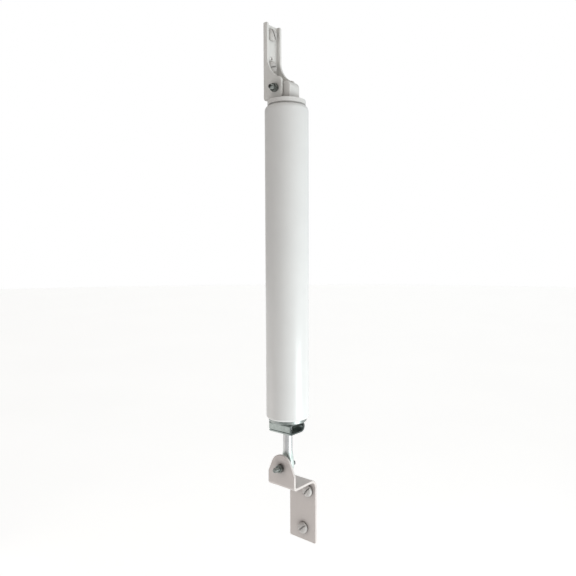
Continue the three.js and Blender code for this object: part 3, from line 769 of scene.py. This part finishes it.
def pan_head_screw(head_radius, head_height, shank_radius, shank_length, turn):
    """A slotted pan-head screw along +Z, with the underside of its head at 0."""
    dome = [
        (head_radius * 0.97, 0),
        (head_radius, head_height * 0.14),
        (head_radius * 0.985, head_height * 0.42),
        (head_radius * 0.9, head_height * 0.7),
        (head_radius * 0.72, head_height * 0.9),
        (head_radius * 0.42, head_height),
        (0, head_height),
    ]
    tip = -shank_length
    profile = [(0, tip), (shank_radius - 0.25, tip), (shank_radius, tip + 0.3), (shank_radius, 0)] + dome
    body = lathe(profile, sides=64)
    reach = head_radius * 1.2
    slot = box((-reach, reach), (-0.55, 0.55), (head_height * 0.48, head_height + 2))
    screw = eased(combined(body, slot, "DIFFERENCE"), 0.09, 34)
    bmesh.ops.rotate(screw, verts=screw.verts, cent=(0, 0, 0), matrix=Matrix.Rotation(turn, 3, "Z"))
    return screw


# ---------------------------------------------------------------- door bracket

BEND_INNER = 0.5
WEB_HALF = DOOR_WIDTH / 2 - SHEET - BEND_INNER  # flat half of the web
BEND_LENGTH = (BEND_INNER + SHEET / 2) * math.pi / 2
FLANGE_START_X = SHEET + BEND_INNER


def channel_flat(x):
    """Developed distance from the web's centre line to a point at this X on a flange."""
    return WEB_HALF + BEND_LENGTH + x - FLANGE_START_X


def door_outline(pin_z, bottom):
    """The developed outline of the channel, with an ear at the low end of each flange."""
    depth, top, front, foot_corner = 5.0, DOOR_TOP_Z, EAR_FRONT, 3.5
    ear_top, ear_corner = pin_z + 8.0, 3.3
    side = arc((depth - 1.2, top - 1.2), 1.2, 90, 0, 6)
    side += bezier(
        (depth, pin_z + 21.9),
        (depth + 0.4, pin_z + 17.9),
        (depth + 3.2, ear_top + 3.2),
        (front - ear_corner, ear_top),
        34,
    )
    side += arc((front - ear_corner, ear_top - ear_corner), ear_corner, 66, 0, 10)
    side += arc((front - foot_corner, bottom + foot_corner), foot_corner, 0, -90, 12)
    right = [(channel_flat(x), z) for x, z in side]
    right += bezier(
        (channel_flat(3.0), bottom),
        (WEB_HALF + 1.6, bottom),
        (WEB_HALF + 1.4, bottom + 3),
        (WEB_HALF - 0.8, bottom + 3),
    )
    return right + [(-u, v) for u, v in reversed(right)]


def door_bracket():
    """A channel with two screw holes and a pilot hole in its web and a pin hole in each ear."""
    pin_x, pin_z = DOOR_PIN
    front, bottom = EAR_FRONT, pin_z - 7.6
    outline = door_outline(pin_z, bottom)
    pin_hole = channel_flat(pin_x)
    holes = [circle((0, z), SCREW_HOLE_RADIUS) for z in (DOOR_SCREW_Z, -DOOR_SCREW_Z)]
    holes.append(circle((0, PILOT_HOLE_Z), 1.3))
    holes += [circle((side_u, pin_z), PIN_HOLE_RADIUS) for side_u in (-pin_hole, pin_hole)]
    bend = (WEB_HALF - 0.3, WEB_HALF + BEND_LENGTH + 0.3)
    blank = plate(outline, holes, SHEET, 0.35, fine_u=(bend, (-bend[1], -bend[0])))
    flange = front - FLANGE_START_X
    segments = [(flange, 0), (BEND_LENGTH, -90), (2 * WEB_HALF, 0), (BEND_LENGTH, -90), (flange, 0)]
    path = path_frame(segments, (front, (SHEET - DOOR_WIDTH) / 2), 180)
    middle = flange + BEND_LENGTH + WEB_HALF

    def place(u, v, w):
        x, y = path(u + middle, w - SHEET / 2)
        return (x, y, v)

    add_piece("door_bracket", reshaped(blank, place), DOOR_PAINT)


def door_screws():
    """Two slotted pan-head screws in the web."""
    for name, z, turn in (("upper", DOOR_SCREW_Z, 0.5), ("lower", -DOOR_SCREW_Z, 1.9)):
        screw = turned_to_x(pan_head_screw(4.2, 2.6, SCREW_SHANK_RADIUS, SHEET, turn))
        add_piece(f"door_screw_{name}", shifted(screw, SHEET + GAP, 0, z), SCREW_PAINT)


def pin_nut(name, ear_face, x, z):
    """The nut on a pin's near end, a gap off the ear."""
    face = ear_face - GAP
    piece = turned_to_y(nut(NUT_ACROSS_FLATS, PIN_HOLE_RADIUS - 0.05, face - NUT_HEIGHT, face))
    add_piece(name, shifted(piece, x, 0, z), DARK_ZINC)


def door_pin():
    """A domed head on the far side, a thread and a nut on the near side."""
    radius, near, head, ear_face = PIN_RADIUS, -14.5, DOOR_WIDTH / 2 + GAP, -DOOR_WIDTH / 2
    profile = [(0, near), (radius - 0.5, near), (radius, near + 0.6), (radius, head)]
    profile += [(3.1, head), (3.25, head + 0.2), (3.25, head + 0.7), (3.0, head + 1.3)]
    profile += [(2.3, head + 1.8), (1.2, head + 2.0), (0, head + 2.05)]
    pin = turned_to_y(shaft(profile, thread=(near + 0.1, ear_face + 1.0, 0.6, 0.26)))
    add_piece("door_pin", shifted(pin, DOOR_PIN[0], 0, DOOR_PIN[1]), DARK_ZINC)
    pin_nut("door_pin_nut", ear_face, *DOOR_PIN)


# ---------------------------------------------------------------- tube and caps


def on_axis(bm):
    return shifted(bm, AXIS_X)


def tube():
    """A thin tube rolled inward over both caps."""
    wall, top_roll, bottom_roll = 0.9, 3.5, 2.0
    top_centre = (TUBE_RADIUS - top_roll, -46.3)
    bottom_centre = (TUBE_RADIUS - bottom_roll, BOTTOM_ROLL_Z)
    top = arc(top_centre, top_roll, 0, 65, 12)
    top_inside = arc(top_centre, top_roll - wall, 65, 0, 10)
    bottom = arc(bottom_centre, bottom_roll, -63, 0, 10)
    bottom_inside = arc(bottom_centre, bottom_roll - wall, 0, -63, 8)
    lip_top = arc(mid_point(top[-1], top_inside[0]), wall / 2, 65, 245, 6)[1:-1]
    lip_bottom = arc(mid_point(bottom_inside[-1], bottom[0]), wall / 2, 117, 297, 6)[1:-1]
    outside = [(TUBE_RADIUS, z) for z in np.linspace(-262, -55, 10)]
    profile = bottom + outside + top + lip_top + top_inside + bottom_inside + lip_bottom
    add_piece("tube", on_axis(lathe(profile, True, 144)), TUBE_PAINT)


def mid_point(p, q):
    return ((p[0] + q[0]) / 2, (p[1] + q[1]) / 2)


def lug():
    """The block on the rear cap: round-cornered, with a flare where it meets the cap."""
    half, back, front, corner, edge = 5.7, -12.9, 7.7, 4.2, 0.9
    foot, top = CAP_FACE_Z - 2.5, DOOR_PIN[1] + 4.5
    pin_x, pin_z = DOOR_PIN[0] - AXIS_X, DOOR_PIN[1]
    outline = [(back, foot), (front, foot)]
    outline += arc((front - corner, top - corner), corner, 0, 90, 16)
    outline += arc((back + corner, top - corner), corner, 90, 180, 16)
    hole = circle((pin_x, pin_z), PIN_RADIUS + 0.25)
    rounded = fillet(outline, 1.4, True)
    blank = plate(rounded, [hole], 2 * half, edge, fine_v=((foot, CAP_FACE_Z + 2.2),))
    flare_height, flare_reach, middle = 1.7, 1.2, (back + front) / 2

    def place(u, v, w):
        rise = max(0.0, min(1.0, (CAP_FACE_Z + flare_height - v) / flare_height))
        grow = flare_reach * (1 - math.sqrt(max(0.0, 1 - (0.97 * rise) ** 2)))
        y = w - half
        x = u + math.copysign(grow, u - middle) * min(1.0, abs(u - middle) / 6)
        y += math.copysign(grow, y) * min(1.0, abs(y) / 4)
        reach = math.hypot(x, y)
        limit = CAP_LIP_RADIUS - 0.35
        if reach > limit:
            x, y = x * limit / reach, y * limit / reach
        return (x, y, v)

    return reshaped(blank, place)


SPEED_SCREW_Y = 10.2
SEAL_Z = -51.8


def rear_cap():
    """A lipped plug with a seal groove and a bleed bore, and the lug on its face."""
    face, bottom, seal = CAP_FACE_Z, -60.6, SEAL_Z
    lip, neck, plug = CAP_LIP_RADIUS, CAP_NECK_RADIUS, BORE_RADIUS
    profile = [(0, face), (lip - 0.05, face), (lip, face - 0.3), (lip, face - 3.0), (neck, face - 3.3)]
    profile += [(neck, face - 4.9), (13.9, face - 5.5), (14.5, face - 6.4), (plug, face - 7.4)]
    profile += [(plug, seal + 1.4), (12.4, seal + 1.4), (12.4, seal - 1.4), (plug, seal - 1.4)]
    profile += [(plug, bottom + 0.6), (plug - 0.6, bottom), (0, bottom)]
    body = combined(lathe(fillet(profile, 0.45), sides=112), lug(), "UNION")
    bore = lathe([(0, bottom - 1), (1.4, bottom - 1), (1.4, 0), (0, 0)], sides=32)
    bore = shifted(bore, 0, SPEED_SCREW_Y)
    add_piece("rear_cap", on_axis(combined(body, bore, "DIFFERENCE")), CAST_PAINT)


def speed_screw():
    """A slotted needle screw in the cap's face."""
    face = CAP_FACE_Z + GAP
    profile = [(0, face - 14.3), (0.4, face - 14.3), (1.1, face - 11.8), (1.1, face), (1.9, face)]
    profile += [(1.9, face + 1.4), (1.5, face + 1.9), (0, face + 1.9)]
    body = lathe(fillet(profile, 0.12), sides=40)
    slot = box((-3, 3), (-0.3, 0.3), (face + 0.9, face + 3))
    screw = combined(body, slot, "DIFFERENCE")
    add_piece("speed_screw", shifted(screw, AXIS_X, SPEED_SCREW_Y), BRASS)


def front_cap():
    """The cap that the rod comes through, with a recess for its wiper."""
    top, bottom, nose, bore, recess = -264.1, FRONT_CAP_BOTTOM_Z, 14.2, 3.9, 6.2
    profile = [(bore, top), (BORE_RADIUS - 0.5, top), (BORE_RADIUS, top - 0.5)]
    profile += arc((14.0, BOTTOM_ROLL_Z), 0.8, 0, -63, 5)
    profile += [(nose, BOTTOM_ROLL_Z - 0.9), (nose, bottom + 0.6), (nose - 0.6, bottom)]
    profile += [(recess + 0.3, bottom), (recess, bottom + 0.3), (recess, bottom + 2.4), (bore, bottom + 2.4)]
    add_piece("front_cap", on_axis(lathe(fillet(profile, 0.25, True), True)), CAP_ZINC_SHADED)


def ring(node, finish, corners, soften=0.2, sides=72):
    add_piece(node, on_axis(lathe(fillet(corners, soften, True), True, sides)), finish)


def soft_rings():
    """Seals and washers on the tube's axis."""
    ring("rear_cap_seal", RUBBER, arc((13.75, SEAL_Z), 1.05, 0, 345, 23), 0.01)
    low = FRONT_CAP_BOTTOM_Z
    ring("rod_wiper", FELT, [(3.8, low + 2.1), (5.9, low + 2.1), (5.9, low), (3.8, low)], 0.4)
    ring("spring_seat", ZINC, [(4.1, -262.3), (12, -262.3), (12, -263.8), (4.1, -263.8)])
    ring("piston_washer", ZINC, [(2.8, -68.5), (8.5, -68.5), (8.5, -69.7), (2.8, -69.7)])
    cup = [(2.8, -72.4), (13.6, -72.4), (14.2, -71.6), (14.8, -67.0), (14.4, -66.4), (13.4, -66.9)]
    ring("piston_cup", RUBBER, cup + [(12.8, -70.0), (2.8, -70.0)], 0.25)
    disc = [(2.8, -72.7), (14.4, -72.7), (14.8, -73.1), (14.8, -79.7), (10.6, -79.7), (10.6, -77.7)]
    ring("piston", NYLON, disc + [(5.9, -77.7), (5.9, -79.7), (2.8, -79.7)], 0.25)
    pad = [(0, -60.9), (8.0, -60.9), (8.0, -63.3), (7.4, -63.9), (0, -63.9)]
    add_piece("bumper", on_axis(lathe(fillet(pad, 0.4), sides=64)), RUBBER)
    add_piece("piston_nut", on_axis(nut(8, 2.75, -68.2, -65.0)), ZINC)


# ---------------------------------------------------------------- spring and rod


def return_spring():
    """Wire coil from its seat up to the piston."""
    low, high = SPRING_ENDS_Z
    wire, radius, steps, sides = 1.1, 8.0, 40, 14
    count = SPRING_TURNS * steps
    sections = []
    for i in range(count + 1):
        t = i / count
        angle = 2 * math.pi * SPRING_TURNS * t
        out = Vector((math.cos(angle), math.sin(angle), 0))
        middle = out * radius + Vector((0, 0, low + (high - low) * t))
        section = []
        for k in range(sides):
            a = 2 * math.pi * k / sides
            section.append(middle + out * (wire * math.cos(a)) + Vector((0, 0, wire * math.sin(a))))
        sections.append(section)
    coil = add_piece("return_spring", on_axis(loft(sections)), SPRING_WIRE)
    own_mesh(coil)


def superellipse(half_x, half_y, power, z, sides=64):
    ring_points = []
    for i in range(sides):
        angle = 2 * math.pi * i / sides
        c, s = math.cos(angle), math.sin(angle)
        x = half_x * math.copysign(abs(c) ** (2 / power), c)
        y = half_y * math.copysign(abs(s) ** (2 / power), s)
        ring_points.append((x, y, z))
    return ring_points


def smooth_step(t):
    t = max(0.0, min(1.0, t))
    return t * t * (3 - 2 * t)


def piston_rod():
    """A round rod with a stud at the piston, pressed flat into an eye at the jamb pin."""
    rod, stud, eye, flat = ROD_RADIUS, STUD_RADIUS, EYE_RADIUS, EYE_HALF_THICKNESS
    neck = JAMB_PIN_Z + 11.5
    sections = [superellipse(r, r, 2, z) for r, z in ((stud - 0.35, -64.5), (stud, -64.9), (stud, -80.0))]
    sections += [superellipse(r, r, 2, z) for r, z in ((rod - 0.2, -80.0), (rod, -80.3))]
    sections += [superellipse(rod, rod, 2, z) for z in np.linspace(-82, neck, 12)]
    for z in np.linspace(neck - 0.4, JAMB_PIN_Z - eye + 0.02, 54):
        wide = rod + (eye - rod) * smooth_step((neck - z) / 9.5)
        if z < JAMB_PIN_Z:
            wide = math.sqrt(max(0.01, eye**2 - (z - JAMB_PIN_Z) ** 2))
        press = smooth_step((neck - z) / 6.0)
        thick = rod + (flat - rod) * press
        thick = min(thick, 0.7 + wide)
        sections.append(superellipse(wide, thick, 2 + 3.5 * press, z))
    body = loft(sections)
    hole = turned_to_y(lathe([(0, -9), (PIN_HOLE_RADIUS, -9), (PIN_HOLE_RADIUS, 9), (0, 9)], sides=48))
    body = combined(body, shifted(hole, 0, 0, JAMB_PIN_Z), "DIFFERENCE")
    add_piece("piston_rod", on_axis(body), ROD_STEEL, 30)


# ---------------------------------------------------------------- hold-open washer


def hold_open_washer():
    """A strip folded into a flat loop, with its ends meeting low on the near side."""
    sheet, top, bottom = 1.2, CLIP_TOP_Z, -282.7
    half_width, back, front = 8.7, -11.2, 9.5
    corner_outer, nose_outer = 1.5, (top - bottom) / 2
    corner, nose = corner_outer - sheet / 2, nose_outer - sheet / 2
    seam = 2.0
    leaf = 2 * half_width - corner_outer - nose_outer
    wall_up = (top - corner_outer) - (bottom + seam)
    wall_end = seam - corner_outer - 0.3
    corner_length, nose_length = corner * math.pi / 2, nose * math.pi
    segments = [(wall_up, 0), (corner_length, -90), (leaf, 0), (nose_length, -180), (leaf, 0)]
    segments += [(corner_length, -90), (max(0.05, wall_end), 0)]
    total = sum(length for length, _ in segments)
    path = path_frame(segments, (-half_width + sheet / 2, bottom + seam), 90)
    outline = fillet([(0, back), (total, back), (total, front), (0, front)], 0.8, True)
    to_axis = half_width - corner_outer
    first = wall_up + corner_length + to_axis
    second = wall_up + corner_length + leaf + nose_length + (leaf - to_axis)
    holes = [circle((first, 0), 3.9), circle((second, 0), 3.9)]
    ranges, s = [], 0.0
    for length, turn in segments:
        if turn:
            ranges.append((s - 0.2, s + length + 0.2))
        s += length
    blank = plate(outline, holes, sheet, 0.3, fine_u=ranges, rim_step=0.3)

    def place(u, v, w):
        y, z = path(u, w - sheet / 2)
        return (v + AXIS_X, y, z)

    folded = reshaped(blank, place)
    folded.normal_update()
    # faces across X are the strip's cut edges; they take the near-black second finish, which paints shade at
    # the washer's ends
    for face in folded.faces:
        face.material_index = 1 if abs(face.normal.x) > 0.5 else 0
    washer = add_piece("hold_open_washer", folded, ZINC)
    washer.data.materials.append(SHEARED_EDGE_SHADED)


# ---------------------------------------------------------------- jamb bracket


def jamb_bracket():
    """A strip bent twice: ear up, shelf across, screw plate down."""
    half, ear_radius, plate_radius = STRIP_HALF_WIDTH, 1.0 + SHEET, 4.5 + SHEET  # outer radii
    ear_bend = (ear_radius - SHEET / 2) * math.pi / 2
    plate_bend = (plate_radius - SHEET / 2) * math.pi / 2
    ear_top = JAMB_PIN_Z + 9.7
    ear = ear_top - (SHELF_TOP_Z - SHEET + ear_radius)
    shelf = (PLATE_Y - plate_radius) - (EAR_Y + ear_radius)
    plate_top = SHELF_TOP_Z - plate_radius
    plate_length = plate_top - PLATE_BOTTOM_Z
    segments = [(ear, 0), (ear_bend, 90), (shelf, 0), (plate_bend, -90), (plate_length, 0)]
    path = path_frame(segments, (EAR_Y + SHEET / 2, ear_top), -90)
    plate_start = ear + ear_bend + shelf + plate_bend
    foot = plate_start + plate_length
    top_radius = 9.8
    # u is the distance down the strip and v the strip's width along X
    turns = np.radians(np.linspace(156, 24, 44))
    outline = [(top_radius * (1 - math.sin(a)), top_radius * math.cos(a)) for a in turns]
    shoulder = ear_top - (JAMB_PIN_Z - 4.5)
    corners = [(shoulder, half), (foot, half), (foot, -half), (shoulder, -half)]
    outline += fillet([outline[-1], *corners, outline[0]], 1.1)[1:-1]
    holes = [circle((ear_top - JAMB_PIN_Z, 0), PIN_RADIUS + 0.25)]
    for x, z in JAMB_SCREWS.values():
        holes.append(circle((plate_start + plate_top - z, x), SCREW_HOLE_RADIUS))
    bends = ((ear - 0.3, ear + ear_bend + 0.3), (plate_start - plate_bend - 0.3, plate_start + 0.3))
    blank = plate(outline, holes, SHEET, 0.35, fine_u=bends)

    def place(u, v, w):
        y, z = path(u, w - SHEET / 2)
        return (v + AXIS_X, y, z)

    add_piece("jamb_bracket", reshaped(blank, place), JAMB_PAINT_SHADED)


def jamb_pin():
    """A plain pin through the eye, threaded for its nut, and the spacer behind the ear."""
    radius, near, far = PIN_RADIUS, EAR_Y - 7.7, 7.4
    profile = [(0, near), (radius - 0.5, near), (radius, near + 0.6), (radius, far - 0.5)]
    profile += [(radius - 0.45, far), (0, far)]
    pin = turned_to_y(shaft(profile, thread=(near + 0.1, EAR_Y + 0.5, 0.6, 0.26)))
    add_piece("jamb_pin", shifted(pin, AXIS_X, 0, JAMB_PIN_Z), DARK_ZINC)
    pin_nut("jamb_pin_nut", EAR_Y, AXIS_X, JAMB_PIN_Z)
    low, high, hole, rim = EAR_Y + SHEET + GAP, -EYE_HALF_THICKNESS - GAP, PIN_HOLE_RADIUS, EYE_RADIUS
    washer = lathe(fillet([(hole, low), (rim, low), (rim, high), (hole, high)], 0.25, True), True, 64)
    add_piece("jamb_spacer", shifted(turned_to_y(washer), AXIS_X, 0, JAMB_PIN_Z), NYLON)


def jamb_screws():
    """Two slotted pan-head screws in the plate, facing the ear."""
    for (name, (x, z)), turn in zip(JAMB_SCREWS.items(), (0.9, 0.75)):
        screw = pan_head_screw(4.4, 2.8, SCREW_SHANK_RADIUS, SHEET, turn)
        facing = reshaped(screw, lambda a, b, c: (a, -c, b))
        placed = shifted(facing, AXIS_X + x, PLATE_Y - SHEET - GAP, z)
        add_piece(f"jamb_screw_{name}", placed, SCREW_PAINT)


door_bracket()
door_screws()
door_pin()
tube()
rear_cap()
speed_screw()
front_cap()
soft_rings()
return_spring()
piston_rod()
hold_open_washer()
jamb_bracket()
jamb_pin()
jamb_screws()

# ---------------------------------------------------------------- studio

CAMERA_PLACE = Vector((0.2872, -0.3207, -0.1516))
CAMERA_WAY = Vector((-0.6430, 0.7638, -0.0555)).normalized()
CAMERA_ROLL = math.radians(-0.20)
LENS_MM = 35.45
FLOOR_Z = -0.47
OBJECT_MIDDLE = Vector((0.0165, 0.0, -0.175))
VIEW_RIGHT = Vector((0.765, 0.644, 0.0))
VIEW_BACK = Vector((0.644, -0.765, 0.0))  # from the object towards the camera
LOBE_SHARPNESS = 3.0
# Degrees to the right of the camera, rise per unit of run, strength
LOBES = (
    (0, 0, 0.04),
    (45, 0, 0.54),
    (90, 0, 0.42),
    (135, 0, 0.32),
    (180, 0, 0.7),
    (225, 0, 0.1),
    (0, 9, 1.15),
    (0, -9, 0.12),
)
WARM_WAY = Vector((-0.3, -0.9, -0.2)).normalized()
WARM_TINT = (1.0, 0.87, 0.79)
COOL_TINT = (0.91, 0.98, 1.0)
KEY_POWER = 0.92
FILL_POWER = 0.09
FLOOR_GLOW = 0.42


def camera():
    data = bpy.data.cameras.new("camera")
    data.lens = LENS_MM
    data.sensor_width = 36.0
    data.clip_start = 0.01
    obj = bpy.data.objects.new("camera", data)
    obj.rotation_mode = "QUATERNION"
    facing = CAMERA_WAY.to_track_quat("-Z", "Y").to_matrix()
    obj.rotation_quaternion = (facing @ Matrix.Rotation(CAMERA_ROLL, 3, "Z")).to_quaternion()
    obj.location = CAMERA_PLACE
    bpy.context.scene.collection.objects.link(obj)
    bpy.context.scene.camera = obj


def soft_light(name, direction, distance, size, power, tint, gloss):
    """A rectangular lamp that looks at the middle of the object."""
    data = bpy.data.lights.new(name, "AREA")
    data.shape = "RECTANGLE"
    data.size, data.size_y = size
    data.energy = power
    data.color = tint
    data.specular_factor = gloss
    obj = bpy.data.objects.new(name, data)
    way = Vector(direction).normalized()
    obj.location = OBJECT_MIDDLE + way * distance
    obj.rotation_mode = "QUATERNION"
    obj.rotation_quaternion = (-way).to_track_quat("-Z", "Y")
    obj.visible_camera = False
    bpy.context.scene.collection.objects.link(obj)


def floor():
    bm = bmesh.new()
    bmesh.ops.create_circle(bm, cap_ends=True, segments=96, radius=6.0)
    obj = mesh_object(bm, "floor")
    obj.location.z = FLOOR_Z
    f = Finish("pale_floor", Roughness=0.6)
    f.colour(f.mixed(f.ranged(f.noise(3.0, 3.0), 0.3, 0.7), (0.9, 0.9, 0.9), (0.93, 0.93, 0.93)))
    f.shader.inputs["Emission Color"].default_value = (1, 1, 1, 1)
    f.shader.inputs["Emission Strength"].default_value = FLOOR_GLOW
    obj.data.materials.append(f.material)


def world():
    """White all round to the eye. As a light it is a sum of soft lobes, warmer on one side."""
    made = bpy.data.worlds.new("studio")
    bpy.context.scene.world = made
    made.use_nodes = True
    nodes, links = made.node_tree.nodes, made.node_tree.links

    def maths(operation, *values):
        node = nodes.new("ShaderNodeMath")
        node.operation = operation
        for socket, value in zip(node.inputs, values):
            if isinstance(value, (int, float)):
                socket.default_value = value
            else:
                links.new(value, socket)
        return node.outputs[0]

    def mixed(factor, a, b):
        node = nodes.new("ShaderNodeMix")
        node.data_type = "RGBA"
        links.new(factor, node.inputs["Factor"])
        for socket, value in ((node.inputs[6], a), (node.inputs[7], b)):
            if isinstance(value, tuple):
                socket.default_value = (*value, 1.0)
            else:
                links.new(value, socket)
        return node.outputs[2]

    place = nodes.new("ShaderNodeTexCoord")
    total = None
    for azimuth, height, strength in LOBES:
        angle = math.radians(azimuth)
        flat = VIEW_BACK * math.cos(angle) + VIEW_RIGHT * math.sin(angle)
        way = (flat + Vector((0, 0, height))).normalized()
        dot = nodes.new("ShaderNodeVectorMath")
        dot.operation = "DOT_PRODUCT"
        links.new(place.outputs["Generated"], dot.inputs[0])
        dot.inputs[1].default_value = way
        facing = maths("POWER", maths("MAXIMUM", dot.outputs["Value"], 0.0), LOBE_SHARPNESS)
        lobe = maths("MULTIPLY", facing, strength)
        total = lobe if total is None else maths("ADD", total, lobe)
    side = nodes.new("ShaderNodeVectorMath")
    side.operation = "DOT_PRODUCT"
    links.new(place.outputs["Generated"], side.inputs[0])
    side.inputs[1].default_value = WARM_WAY
    rays = nodes.new("ShaderNodeLightPath").outputs["Is Camera Ray"]
    tint = mixed(maths("MULTIPLY_ADD", side.outputs["Value"], 0.5, 0.5), COOL_TINT, WARM_TINT)
    links.new(mixed(rays, tint, (1, 1, 1)), nodes["Background"].inputs["Color"])
    links.new(maths("MAXIMUM", total, rays), nodes["Background"].inputs["Strength"])


camera()
floor()
world()
soft_light("key", (0.97, 0.18, -0.45), 0.45, (0.25, 0.18), KEY_POWER, (0.9, 0.98, 1.0), 0.1)
soft_light("fill", (-0.8, -0.5, -0.45), 0.45, (0.2, 0.14), FILL_POWER, (1.0, 0.92, 0.87), 0.0)
bpy.context.scene.view_settings.view_transform = "Standard"
